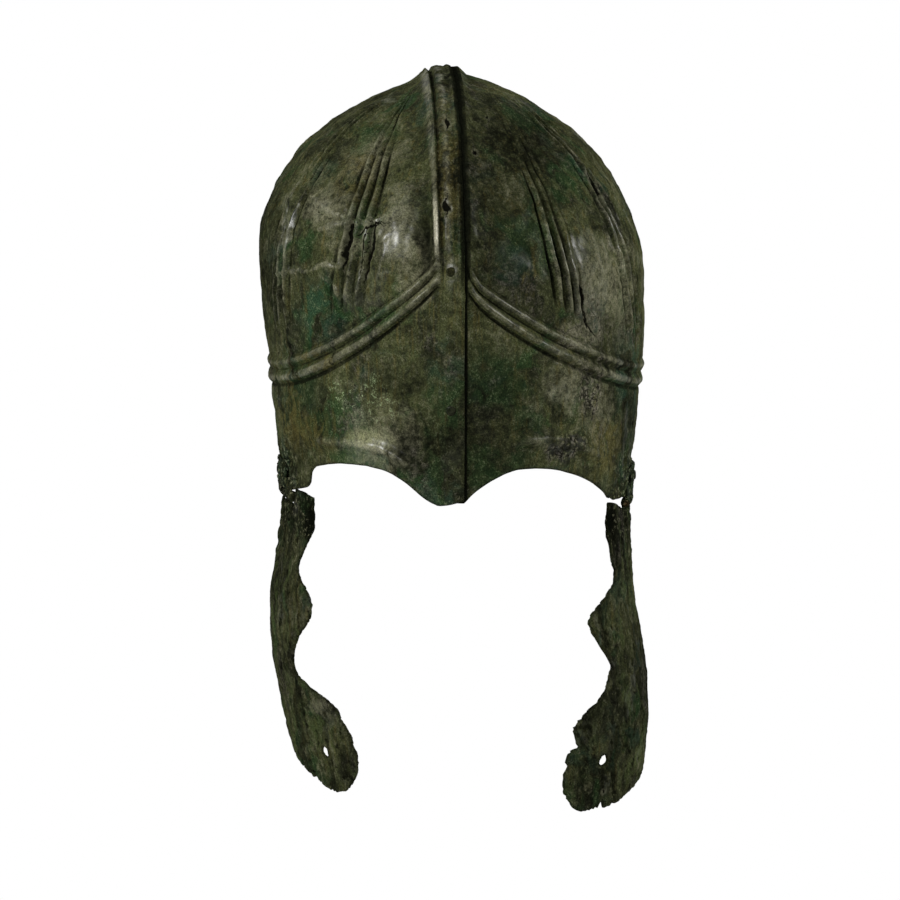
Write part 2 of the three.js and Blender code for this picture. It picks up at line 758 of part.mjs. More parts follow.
// A grid over the side view, drawn between the four edges of the plate
function cheekPlate(cheek) {
  const surface = cheekWall(cheek);
  const columns = 8;
  const rows = cheek.frontShares.length - 1;
  const topEdge = (share) => {
    const rise = cheekTopRise * smooth(0.45, 1, share);
    return [share * cheek.frontShares[0][1] * cheek.width, cheekBelowAxis - rise];
  };
  const line = (points, share) => {
    const position = share * (points.length - 1);
    const i = Math.min(Math.floor(position), points.length - 2);
    return [0, 1].map((k) => mix(points[i][k], points[i + 1][k], position - i));
  };
  const back = (share) => {
    const [depth, forward] = line(cheek.backShares, share);
    return [forward * cheek.width, depth * cheek.depth];
  };
  const front = (share) => {
    const [depth, forward] = line(cheek.frontShares, share);
    return [forward * cheek.width, depth * cheek.depth];
  };
  const foot = (share) => {
    const [forward, depth] = line(cheek.footShares, share);
    return [forward * cheek.width, depth * cheek.depth];
  };
  const corner = { a: topEdge(0), b: topEdge(1), c: foot(0), d: foot(1) };
  const top = [];
  const bottom = [];
  for (let r = 0; r <= rows; r += 1) {
    const v = r / rows;
    const topRow = [];
    const bottomRow = [];
    for (let i = 0; i <= columns; i += 1) {
      const u = i / columns;
      const [forward, depth] = [0, 1].map((k) => {
        const ruled = mix(topEdge(u)[k], foot(u)[k], v) + mix(back(v)[k], front(v)[k], u);
        const corners = mix(mix(corner.a[k], corner.b[k], u), mix(corner.c[k], corner.d[k], u), v);
        return ruled - corners;
      });
      const { point, normal } = surface(forward, depth);
      topRow.push(point);
      bottomRow.push(point.clone().addScaledVector(normal, -sheet));
    }
    top.push(topRow);
    bottom.push(bottomRow);
  }
  return closedPatch(top, bottom);
}

function leafRivets(surface, height, from, direction, lift) {
  return [-0.3, 0.3].map((share) => {
    const { point, normal } = surface(share * hingeLength, from + direction * height * 0.55);
    return { point: point.clone().addScaledVector(normal, lift), normal };
  });
}

const hinges = {};
for (const [word, cheek] of [["right", rightCheek], ["left", leftCheek]]) {
  const { half } = cheek;
  const frame = hingeFrame(half);
  const wall = skullWall(half);
  const onSkull = (offset, depth) => wall(hingeMiddle + offset, depth);
  const cheekFace = cheekWall(cheek);
  const onCheek = (offset, depth) => cheekFace(cheekRear + hingeMiddle + offset, depth);
  const low = leafStandoff;
  const high = leafStandoff + leafSheet;
  const within = [-sheet - high, -sheet - low];
  const rim = half.hingeDepth - rimAboveAxis;
  const reach = hingeLength / 2;
  const leafFoot = rim - leafInset;
  const leafTop = cheekBelowAxis + leafInset;
  let skullLeaf = plate(onSkull, -reach, reach, rim - skullLeafHeight, leafFoot, 4, 1, low, high);
  let cheekLeaf = plate(onCheek, -reach, reach, leafTop, leafTop + cheekLeafHeight, 4, 1, ...within);
  for (let i = 0; i < knuckleCount; i += 1) {
    const [start, end] = knuckleSpan(i);
    const [from, to] = [start + tongueInset, end - tongueInset];
    if (i % 2 === 0) {
      const tongue = plate(onSkull, from, to, rim - tongueLap, half.hingeDepth - tongueEnd, 1, 1, low, high);
      skullLeaf = skullLeaf.add(tongue).add(barrel(frame, i));
    } else {
      const tongue = plate(onCheek, from, to, tongueEnd, cheekBelowAxis + tongueLap, 1, 1, ...within);
      cheekLeaf = cheekLeaf.add(tongue).add(barrel(frame, i));
    }
  }
  const skullRivets = leafRivets(onSkull, skullLeafHeight, rim, -1, high);
  const cheekRivets = leafRivets(onCheek, cheekLeafHeight, cheekBelowAxis, 1, 0);
  const grip = leafSheet + leafStandoff + sheet;
  const holes = (places) => places.map((place) => ({ ...place, depth: grip }));
  for (const { point, normal } of skullRivets) {
    skullLeaf = skullLeaf.subtract(bore(rivetRadius + clearance, point, normal, grip));
  }
  for (const { point, normal } of cheekRivets) {
    cheekLeaf = cheekLeaf.subtract(bore(rivetRadius + clearance, point, normal, grip));
  }
  let piece = cheekPlate(cheek);
  for (const { point, normal, depth } of holes(cheekRivets)) {
    piece = piece.subtract(bore(rivetRadius + clearance, point, normal, depth));
  }
  const eye = cheekFace(cheek.hole[0] * cheek.width, cheek.hole[1] * cheek.depth);
  piece = piece.subtract(bore(tieHoleRadius, eye.point, eye.normal, sheet));
  hinges[word] = {
    frame,
    piece,
    skullLeaf: skullLeaf.subtract(pinBore(frame)),
    cheekLeaf: cheekLeaf.subtract(pinBore(frame)),
    pin: hingePin(frame),
    skullRivets: seatRivets(skullRivets, grip),
    cheekRivets: seatRivets(cheekRivets, grip),
    holes: holes(skullRivets),
  };
}

addPiece("skull_half_right", skullHalf(rightHalf, [...seamHoles, ...hinges.right.holes]), bronze, 0.7, 0.6);
addPiece("skull_half_left", skullHalf(leftHalf, [...seamHoles, ...hinges.left.holes]), bronze, 0.7, 0.6);
const seated = seamRivetShares.map((share) => seamPlace(rightHalf, share));
seatRivets(seated, seamDepth).forEach((geometry, i) => {
  addPiece(`seam_rivet_${i + 1}`, geometry, paleBronze, 0.7, 0.5);
});
for (const [word, hinge] of Object.entries(hinges)) {
  addPiece(`cheekpiece_${word}`, toGeometry(hinge.piece), bronze, 0.7, 0.6);
  addPiece(`hinge_skull_leaf_${word}`, toGeometry(hinge.skullLeaf), bronze, 0.7, 0.6);
  addPiece(`hinge_cheek_leaf_${word}`, toGeometry(hinge.cheekLeaf), bronze, 0.7, 0.6);
  addPiece(`hinge_pin_${word}`, hinge.pin, iron, 0.5, 0.8);
  hinge.skullRivets.forEach((geometry, i) => {
    addPiece(`skull_leaf_rivet_${word}_${i + 1}`, geometry, paleBronze, 0.7, 0.5);
  });
  hinge.cheekRivets.forEach((geometry, i) => {
    addPiece(`cheek_leaf_rivet_${word}_${i + 1}`, geometry, paleBronze, 0.7, 0.5);
  });
}

export default helmet;
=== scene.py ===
# %% [markdown]
# # Chalcidian helmet in Blender
#
# The real helmet is hammered bronze sheet, about a millimetre and a half thick, in two halves
# that meet in a raised seam over the crown. Each half carries groups of narrow flutes, a
# double brow band and an arch over the eye, and a scalloped cheekpiece swings on a hinge
# at each side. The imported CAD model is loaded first, as a fixed frame: every piece made here
# goes where the CAD piece is, in metres, and takes over from it.

import math

import bmesh
import bpy
import numpy as np
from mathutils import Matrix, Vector, noise
from mathutils.bvhtree import BVHTree


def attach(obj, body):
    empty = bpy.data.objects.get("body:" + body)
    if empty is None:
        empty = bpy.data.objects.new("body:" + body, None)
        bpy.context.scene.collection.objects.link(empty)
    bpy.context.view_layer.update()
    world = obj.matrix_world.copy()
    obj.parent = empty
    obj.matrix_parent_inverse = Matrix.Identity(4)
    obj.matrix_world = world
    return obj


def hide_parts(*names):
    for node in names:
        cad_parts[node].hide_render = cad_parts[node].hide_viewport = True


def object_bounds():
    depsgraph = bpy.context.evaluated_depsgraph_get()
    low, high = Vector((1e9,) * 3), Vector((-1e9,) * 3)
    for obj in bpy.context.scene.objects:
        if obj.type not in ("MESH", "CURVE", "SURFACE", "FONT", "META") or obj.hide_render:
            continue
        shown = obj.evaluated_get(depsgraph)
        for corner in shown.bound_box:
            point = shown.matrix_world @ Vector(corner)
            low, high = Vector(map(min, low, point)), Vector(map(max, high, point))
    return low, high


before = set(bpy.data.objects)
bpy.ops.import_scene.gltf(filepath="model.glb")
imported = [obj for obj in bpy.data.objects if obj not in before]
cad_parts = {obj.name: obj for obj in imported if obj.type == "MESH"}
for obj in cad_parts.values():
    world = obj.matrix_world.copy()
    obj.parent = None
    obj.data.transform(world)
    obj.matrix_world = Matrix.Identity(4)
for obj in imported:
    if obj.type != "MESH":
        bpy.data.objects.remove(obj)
cad_low, cad_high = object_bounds()
scene = bpy.context.scene
scene.view_settings.view_transform = "Standard"
print("CAD box in mm:", [round(v * 1000, 1) for v in (*cad_low, *cad_high)])

# %% [markdown]
# ## Camera
#
# The photograph is a straight view of the face from two or three metres away, a little above
# the brow and a few degrees to the wearer's right. A long lens keeps the two sides nearly
# parallel. The aim lies halfway down the helmet, and a small shift puts it where the
# photograph has it, so that the vertical lines stay upright.

# %% Camera
aim = Vector((0, 0, -0.18))
yaw, pitch, distance = math.radians(3), math.radians(6), 2.4
away = Vector((-math.sin(yaw) * math.cos(pitch), -math.cos(yaw) * math.cos(pitch), math.sin(pitch)))
camera_data = bpy.data.cameras.new("camera")
camera_data.sensor_width = 36
camera_data.lens = 192
camera_data.shift_x = -0.0022
camera_data.shift_y = -0.0156
camera = bpy.data.objects.new("camera", camera_data)
camera.location = aim + away * distance
camera.rotation_euler = (-away).to_track_quat("-Z", "Y").to_euler()
scene.collection.objects.link(camera)
scene.camera = camera
print("camera at", [round(v, 3) for v in camera.location])

# %% [markdown]
# ## Light and backdrop
#
# A dark patina shows its relief only where a soft light grazes it. Two large soft boxes stand
# to the sides, the left one higher and stronger, and the middle stays darker, as in the
# photograph. A third one, much weaker, lights the crown from above and behind. The backdrop is
# white to the camera and in reflections, while the light that falls on the metal from it is
# weaker, so that the recesses keep their depth.



# %% Lamps
def soft_box(name, place, size, power):
    """A square soft light that faces the middle of the helmet."""
    lamp = bpy.data.lights.new(name, "AREA")
    lamp.shape = "SQUARE"
    lamp.size = size
    lamp.energy = power
    holder = bpy.data.objects.new(name, lamp)
    holder.location = place
    toward = Vector((0, 0, -0.15)) - holder.location
    holder.rotation_euler = toward.to_track_quat("-Z", "Y").to_euler()
    scene.collection.objects.link(holder)
    return holder


soft_box("key_left", Vector((-1.85, -1.35, 1.0)), 0.65, 80)
soft_box("side_right", Vector((2.1, -0.55, 0.85)), 0.65, 60)
soft_box("top_back", Vector((0.1, 0.9, 2.1)), 0.7, 12)

# %% [markdown]
# ## Shader maths
#
# A patina is many small rules laid over each other, and written as node by node calls it can't
# be read. So a socket is wrapped in a small class, and Python's own operators add the Math
# nodes. Colours and vectors go through Mix and Vector Math.


# %% Wire: a socket that can be used in sums
class Wire:
    """One output socket of a node tree, usable in Python expressions."""

    def __init__(self, tree, socket):
        self.tree = tree
        self.socket = socket

    def math(self, operation, *others, clamp=False):
        settings = {"operation": operation, "use_clamp": clamp}
        return make(self.tree, "ShaderNodeMath", settings, dict(enumerate(others)))

    def __add__(self, other):
        return self.math("ADD", self, other)

    def __sub__(self, other):
        return self.math("SUBTRACT", self, other)

    def __mul__(self, other):
        return self.math("MULTIPLY", self, other)

    def __truediv__(self, other):
        return self.math("DIVIDE", self, other)

    def __pow__(self, other):
        return self.math("POWER", self, other)

    def __rsub__(self, other):
        return self.math("SUBTRACT", other, self)

    __radd__ = __add__
    __rmul__ = __mul__

    def abs(self):
        return self.math("ABSOLUTE", self)

    def held(self):
        """The same value, kept between 0 and 1."""
        return self.math("ADD", self, 0.0, clamp=True)


def make(tree, kind, settings=None, inputs=None, output=0):
    """Makes any node: its type, then its settings, then the values or links of its sockets."""
    node = tree.nodes.new(kind)
    for name, value in (settings or {}).items():
        if name == "stops":
            ramp = node.color_ramp
            while len(ramp.elements) < len(value):
                ramp.elements.new(0.5)
            for element, (position, colour) in zip(ramp.elements, value):
                element.position = position
                element.color = (*colour, 1)
        else:
            setattr(node, name, value)
    for name, value in (inputs or {}).items():
        socket = node.inputs[name]
        if isinstance(value, Wire):
            tree.links.new(value.socket, socket)
        elif isinstance(value, (tuple, list)) and len(socket.default_value) == 4:
            socket.default_value = (*value[:3], 1)
        else:
            socket.default_value = value
    return Wire(tree, node.outputs[output])


# %% [markdown]
# The few helpers below name what the patina is painted with: a smooth step between two values,
# a mix of two colours, cloudy noise, small cells, and a soft blob round a point of the surface.
# Lengths are in millimetres, because the coordinates are scaled to millimetres once.


# %% Brushes
def step(value, low, high):
    """0 below low, 1 above high, and smooth between them. It falls where low is above high."""
    if low > high:
        return 1 - step(value, high, low)
    settings = {"interpolation_type": "SMOOTHSTEP"}
    inputs = {"Value": value, "From Min": low, "From Max": high}
    return make(value.tree, "ShaderNodeMapRange", settings, inputs)


def blend(factor, first, second):
    """Mixes two colours by a factor."""
    inputs = {0: factor, 6: first, 7: second}
    return make(factor.tree, "ShaderNodeMix", {"data_type": "RGBA"}, inputs, 2)


def tinted(colour, tint):
    """The colour times a tint, channel by channel."""
    settings = {"data_type": "RGBA", "blend_type": "MULTIPLY"}
    return make(colour.tree, "ShaderNodeMix", settings, {0: 1.0, 6: colour, 7: tint}, 2)


def vector_math(operation, place, *others, output=0):
    inputs = dict(enumerate((place, *others)))
    return make(place.tree, "ShaderNodeVectorMath", {"operation": operation}, inputs, output)


def scaled(place, factor):
    inputs = {0: place, "Scale": factor}
    return make(place.tree, "ShaderNodeVectorMath", {"operation": "SCALE"}, inputs)


def stretched(place, height):
    """The same place with its height scaled down, so that a pattern runs long from top to foot."""
    return vector_math("MULTIPLY", place, (1, 1, height))


def cloud(place, size, detail=4.0, rough=0.55, twist=0.0):
    """Cloudy noise about 0.5, with a typical blotch of that size in millimetres."""
    inputs = {"Vector": place, "Scale": 1 / size, "Detail": detail,
              "Roughness": rough, "Distortion": twist}
    return make(place.tree, "ShaderNodeTexNoise", None, inputs, "Fac")


def cells(place, size, feature="F1"):
    """Distance to the nearest point of a scatter with that spacing in millimetres."""
    inputs = {"Vector": place, "Scale": 1 / size}
    return make(place.tree, "ShaderNodeTexVoronoi", {"feature": feature}, inputs, "Distance")


def blob(place, centre, radii):
    """1 at a point in millimetres and 0 past its radii."""
    offset = vector_math("SUBTRACT", place, centre)
    shares = vector_math("MULTIPLY", offset, tuple(1 / r for r in radii))
    return step(vector_math("LENGTH", shares, output="Value"), 1.0, 0.35)


def attribute(tree, name):
    return make(tree, "ShaderNodeAttribute", {"attribute_name": name}, None, "Fac")


print("brushes ready")

# %% [markdown]
# ## Patina
#
# Buried bronze grows a skin in layers. A thin dark oxide lies on the metal, green and blue-green
# salts bloom over it in patches, earth leaves ochre in the hollows and along the runs of water,
# and handling rubs the raised lines back to a pale khaki. The layers are mixed in that order.
# Some of them also paint light and shade: highlights on the keel's bead, the creases and one
# eyebrow ridge, shade in grooves, patches and cracks, and a black shadow along the seam.
# The roughness and the bump read the same masks, so that a pit looks dull and sinks in, a crust
# stands up, and a worn line catches the light. The meshes bring four values of their own: how far
# the relief stands up, the distance to the nearest crack and its half width, and the distance to
# the edge.

# %% Patina colours
OXIDE = (0.017, 0.019, 0.010)
DEEP = (0.0035, 0.004, 0.0025)
OLIVE = (0.040, 0.045, 0.019)
KHAKI = (0.130, 0.127, 0.082)
OCHRE = (0.078, 0.064, 0.020)
GREEN = (0.015, 0.037, 0.013)
BRIGHT_GREEN = (0.105, 0.150, 0.060)
TEAL = (0.014, 0.036, 0.024)
MAUVE = (0.110, 0.098, 0.086)
# PALE is worn metal, and on the keel's bead and an eyebrow a painted highlight
PALE = (0.250, 0.240, 0.180)
# Yellowish painted highlight on the ridge over one eye
HIGHLIGHT_COLOUR = (0.210, 0.215, 0.120)
FLECK = (0.16, 0.22, 0.11)
MOSS = (0.050, 0.070, 0.024)
RUST = (0.075, 0.035, 0.012)
# Painted shade inside the cracks and empty rivet holes, which are not cut through
SHADE_IN_CRACKS = (0.002, 0.002, 0.0015)
DARK_SPECK, LIGHT_SPECK = (0.33, 0.33, 0.33), (1.75, 1.75, 1.65)

# The patches of each finish: centre and radii in mm
patches = {
    "green": [
        ((17, -113, -140), (22, 30, 20)), ((-9, -114, -154), (9, 20, 26)),
        ((-57, -86, -159), (22, 30, 16)), ((-52, -88, -180), (22, 30, 9)),
        ((-44, -60, -24), (18, 30, 14)), ((-78, -52, -152), (16, 40, 34)),
        ((36, -96, -72), (16, 25, 30)), ((60, -60, -40), (14, 30, 14)),
        ((-70, -70, -110), (16, 25, 16)),
    ],
    "teal": [
        ((-70, -77, -112), (20, 25, 24)), ((-86, -30, -190), (12, 30, 22)),
        ((86, -30, -195), (12, 30, 22)), ((84, -45, -145), (12, 40, 40)),
        ((20, -108, -86), (14, 20, 14)),
    ],
    "pits": [
        ((64, -82, -152), (11, 25, 19)), ((50, -93, -177), (22, 20, 7)),
    ],
    "ochre": [
        ((-81, -43, -165), (9, 30, 30)), ((72, -68, -177), (14, 30, 20)),
        ((-72, -68, -136), (22, 30, 9)), ((-50, -70, -45), (16, 30, 22)),
        ((-70, -62, -170), (12, 30, 14)), ((31, -110, -88), (7, 20, 24)),
    ],
    # Khaki patches: earth, and where a lobe faces a lamp also painted highlight
    "khaki": [
        ((67, -80, -98), (17, 30, 30)), ((-66, -70, -61), (19, 25, 13)),
        ((-23, -108, -88), (15, 20, 26)), ((58, -87, -123), (22, 25, 8)),
        ((52, -93, -146), (16, 25, 14)), ((-60, -86, -80), (14, 20, 9)),
        ((66, -78, -156), (16, 25, 20)), ((80, -60, -100), (10, 40, 34)),
        ((-34, -98, -66), (14, 22, 28)), ((-44, -72, -38), (22, 34, 16)),
        ((-40, -98, -168), (24, 25, 22)), ((-68, -66, -307), (6, 20, 6)),
    ],
    # Dark patches: grime, and beside the seam, by the keel's bead and on the outer sides painted
    # shade
    "dark": [
        ((18, -98, -56), (40, 60, 66)), ((36, -60, -28), (40, 50, 26)),
        ((-17, -108, -74), (7, 18, 24)), ((10, -112, -158), (36, 50, 50)),
        ((-76, -58, -160), (22, 50, 36)), ((-76, -62, -94), (9, 20, 9)),
        ((-20, -112, -176), (24, 30, 20)), ((-30, -104, -142), (20, 25, 8)),
        ((84, -45, -172), (14, 40, 24)), ((-94, -20, -84), (22, 60, 70)),
    ],
    "crust": [
        ((-85, -22, -200), (22, 50, 34)), ((86, -22, -205), (22, 50, 34)),
        ((-72, -58, -212), (16, 20, 24)), ((72, -58, -216), (16, 20, 24)),
        ((52, -92, -176), (24, 25, 10)), ((-22, -70, -318), (40, 60, 30)),
    ],
    "smooth": [
        ((-30, -98, -68), (17, 25, 28)), ((-64, -74, -58), (15, 20, 15)),
        ((64, -84, -97), (19, 30, 32)), ((-82, -48, -76), (9, 25, 26)),
        ((-44, -94, -176), (20, 20, 9)), ((52, -93, -146), (16, 22, 14)),
        ((-48, -92, -102), (16, 22, 14)), ((48, -93, -176), (18, 22, 7)),
    ],
}


def patched(mask, place, finish, strength=1.0):
    """The mask with the patches of one finish laid over it."""
    for centre, radii in patches[finish]:
        mask = mask + blob(place, centre, radii) * strength
    return mask


print("patches:", {finish: len(entries) for finish, entries in patches.items()})

# %% [markdown]
# Every layer reads the same few noises, from broad clouds down to grit, so they are made once
# for a piece. A seed moves them, so that no two pieces show the same pattern. Two of the places
# are bent by a slow noise, which keeps the patches from showing their round outline.


# %% What the layers read
class Skin:
    """The places, noises and attributes of one piece. Layers add the masks that others need."""

    def __init__(self, tree, seed):
        self.millimetres = scaled(make(tree, "ShaderNodeTexCoord", None, None, "Object"), 1000)
        self.height = vector_math("DOT_PRODUCT", self.millimetres, (0, 0, 1), output="Value")
        away_from_others = (seed * 137.0, seed * -71.0, seed * 53.0)
        self.shifted = vector_math("ADD", self.millimetres, away_from_others)
        slow = {"Vector": self.shifted, "Scale": 1 / 14, "Detail": 3.0}
        wander = make(tree, "ShaderNodeTexNoise", None, slow, "Color")
        bend = scaled(vector_math("SUBTRACT", wander, (0.5, 0.5, 0.5)), 26)
        self.bent = vector_math("ADD", self.shifted, bend)
        self.painted = vector_math("ADD", self.millimetres, bend)
        self.raised = attribute(tree, "raised")
        self.crack = attribute(tree, "crack").abs()
        self.crack_half = attribute(tree, "crack_half")
        self.edge = attribute(tree, "edge")
        self.broad = cloud(self.bent, 42, 3)
        self.medium = cloud(self.bent, 13, 5, 0.6)
        self.fine = cloud(self.shifted, 3.2, 4, 0.65)
        self.grain = cloud(self.shifted, 0.9, 3, 0.7)
        self.grit = cloud(self.shifted, 0.42, 2, 0.6)
        self.streaks = cloud(stretched(self.bent, 0.14), 5, 5, 0.65)
        self.runs = cloud(stretched(self.shifted, 0.06), 2.2, 4, 0.7)
        self.wisps = cloud(stretched(self.bent, 0.3), 7, 5, 0.7)


# %% [markdown]
# The first layers are colour alone. The tones of the oxide come from a weighted sum of the
# noises through a colour ramp, and the salts, the earth and the grime lie over them in patches.
# Some khaki patches are painted highlight, and many dark ones are painted shade.


# %% Layers of colour
def ground(skin):
    """Oxide from near black to khaki, with the ochre runs of water."""
    tone = (skin.broad * 0.26 + skin.medium * 0.12 + skin.streaks * 0.23 + skin.fine * 0.15
            + skin.wisps * 0.24)
    stops = [(0.39, DEEP), (0.465, OXIDE), (0.54, OLIVE), (0.68, KHAKI)]
    base = make(tone.tree, "ShaderNodeValToRGB", {"stops": stops}, {"Fac": tone})
    return blend(step(skin.runs, 0.50, 0.72) * step(skin.broad, 0.38, 0.6) * 0.6, base, OCHRE)


def blooms(skin, base):
    """Green and blue-green salts, khaki earth with some painted highlight, pale flecks, and grime
    with painted shade.
    """
    green = step(cloud(skin.bent, 24, 4, 0.6), 0.53, 0.68)
    green = patched(green, skin.painted, "green", step(skin.medium, 0.38, 0.56)).held()
    teal = step(cloud(skin.bent, 31, 4, 0.6, 0.6), 0.56, 0.70)
    teal = patched(teal, skin.painted, "teal", step(skin.medium, 0.40, 0.58)).held()
    base = blend(green * 0.65, base, GREEN)
    base = blend(teal * 0.5, base, TEAL)
    speckle = step(skin.grain, 0.52, 0.66) * step(skin.fine, 0.46, 0.6)
    base = blend((speckle * green * 0.4).held(), base, BRIGHT_GREEN)
    # Khaki earth, which on the lobes that face the lamps is also painted highlight
    khaki = step(cloud(skin.bent, 20, 4, 0.6), 0.55, 0.7) * 0.4
    khaki = patched(khaki, skin.painted, "khaki")
    base = blend((khaki * step(skin.fine, 0.26, 0.66)).held() * 0.68, base, KHAKI)
    flecks = blob(skin.painted, (-52, -92, -152), (34, 30, 13))
    base = blend(flecks * step(skin.grain, 0.5, 0.6) * step(skin.fine, 0.5, 0.62), base, FLECK)
    base = blend(speckle * 0.3, base, MAUVE)
    # Dark grime, and in the dark patches also painted shade where little light falls
    dark = step(cloud(skin.bent, 26, 4, 0.6), 0.48, 0.34) * 0.35
    dark = patched(dark, skin.painted, "dark", 0.65).held()
    skin.green, skin.dark = green, dark
    return blend((dark * (0.62 + step(skin.fine, 0.62, 0.4) * 0.38)).held() * 0.9, base, DEEP)


def long_streaks(skin, base):
    """Dark, mossy and khaki streaks that run down a cheekpiece."""
    along = cloud(stretched(skin.bent, 0.17), 11, 5, 0.65)
    base = blend(step(along, 0.54, 0.38) * 0.55, base, DEEP)
    base = blend(step(along, 0.52, 0.68) * 0.5, base, MOSS)
    return blend(step(skin.wisps, 0.54, 0.66) * step(skin.fine, 0.4, 0.6) * 0.4, base, KHAKI)


print("layers of colour: ground, blooms, long streaks")

# %% [markdown]
# The next layers also change how the surface feels, so each leaves its mask on the skin for the
# roughness and the bump: pits, worn lines, lumps of crust, and the cracks with their lips. They
# also paint light and shade: highlights on worn lines, shade in hollows, and the cracks nearly
# black as the shade inside them.


# %% Layers of wear
def pitting(skin, base):
    """Pits and a net of fine lines, in zones where the skin has flaked."""
    zone = step(cloud(skin.shifted, 30, 3), 0.56, 0.68) * 0.45
    zone = patched(zone, skin.painted, "pits").held()
    pit = (step(cells(skin.shifted, 2.1), 0.42, 0.12) * step(skin.fine, 0.42, 0.6) * zone).held()
    net = step(cells(skin.painted, 5.0, "DISTANCE_TO_EDGE"), 0.13, 0.02)
    skin.pit = (pit + net * step(skin.fine, 0.4, 0.56) * zone).held()
    base = blend((zone * step(skin.fine, 0.42, 0.6)) * 0.6, base, MAUVE)
    return blend(skin.pit * 0.92, base, DEEP)


def rubbing(skin, base):
    """Crests worn to khaki, painted highlights on the keel's bead and an eyebrow, hollows dark with
    patina and painted shade.
    """
    # Dark in hollows: patina, and painted shade such as the line under the brow band
    hollow = step(skin.raised, -0.05, -0.4)
    # Crests worn pale, and where the relief value carries it the painted highlight of the bead and
    # folds
    rubbed = (step(skin.raised, 0.35, 1.0) * (0.5 + step(skin.fine, 0.3, 0.62) * 0.5)).held()
    base = blend(rubbed * step(skin.wisps, 0.36, 0.6) * 0.55, base, KHAKI)
    base = blend(rubbed * step(skin.fine, 0.52, 0.66) * 0.16, base, PALE)
    # Painted highlights: a spot on the flank of the bead beside the keel, and the ridge over one
    # eye
    bright = blob(skin.millimetres, (-14, -106, -68), (5, 24, 17))
    bright = bright + blob(skin.painted, (-46, -94, -175), (22, 25, 7)) * 0.5
    eyebrow_highlight = blob(skin.millimetres, (-46, -96, -172), (17, 24, 7)) * step(skin.wisps, 0.3, 0.6)
    base = blend(eyebrow_highlight * 0.55, base, HIGHLIGHT_COLOUR)
    base = blend((rubbed * bright * 1.3).held(), base, PALE)
    for centre, radii in patches["ochre"]:
        earth = blob(skin.painted, centre, radii) * step(skin.streaks, 0.38, 0.6)
        base = blend(earth * 0.45, base, OCHRE)
    skin.hollow, skin.rubbed, skin.bright = hollow, rubbed, bright.held()
    return blend(hollow * (0.45 + step(skin.medium, 0.35, 0.6) * 0.45), base, DEEP)


def crusts(skin, base, crust):
    """Lumps of earth and salts, thick at the hinges and on the front of the keel."""
    zone = step(cloud(skin.shifted, 34, 3), 0.58, 0.7) * 0.4 + crust
    zone = patched(zone, skin.painted, "crust")
    on_keel = blob(skin.millimetres, (-7, -90, -40), (8, 70, 80)) * step(skin.height, -96, -86)
    zone = (zone + on_keel * 0.45).held()
    base = blend(on_keel * step(skin.streaks, 0.4, 0.6) * 0.4, base, OCHRE)
    lumps = step(cells(skin.shifted, 2.4), 0.62, 0.1) * step(skin.medium, 0.34, 0.55)
    skin.lumps = zone * lumps
    base = blend(zone * step(lumps, 0.35, 0.85) * step(skin.grain, 0.42, 0.6) * 0.75, base, KHAKI)
    return blend(zone * step(lumps + skin.fine * 0.4, 0.42, 0.2) * 0.75, base, DEEP)


def breaks(skin, base):
    """Deepest grooves with the painted shadow of the seam, worn edges, speckle, then cracks and
    their pale lips.
    """
    # Painted shade in the deepest grooves, and the black painted shadow along the seam's gap
    base = blend(step(skin.raised, -0.6, -1.15), base, DEEP)
    worn_edge = step(skin.edge, 1.3, 0.3) * step(skin.fine, 0.3, 0.55)
    base = blend(worn_edge * 0.6, base, DEEP)
    speck = step(skin.grain, 0.36, 0.62) * 0.75 + step(skin.grit, 0.35, 0.65) * 0.75
    base = blend((speck * 0.55).held(), tinted(base, DARK_SPECK), tinted(base, LIGHT_SPECK))
    ragged = skin.crack_half - skin.crack + (skin.grain - 0.5) * 1.1
    broken = step(skin.crack_half, 0.0, 0.2)
    # Cracks and empty rivet holes painted nearly black, as the shade inside them
    skin.slit = step(ragged, -0.15, 0.25) * broken
    lip = step(skin.crack - skin.crack_half, 1.6, 0.3) * broken * step(skin.fine, 0.35, 0.6)
    base = blend(lip * 0.4, base, KHAKI)
    return blend(skin.slit * 0.97, base, SHADE_IN_CRACKS)


print("layers of wear: pitting, rubbing, crusts, breaks")

# %% [markdown]
# Last, the layers meet in one material. The bump adds the noises at their sizes and cuts the
# pits and cracks into them. A thin coat stands for the sheen of smooth, handled places, and is
# kept off hollows, pits and cracks.


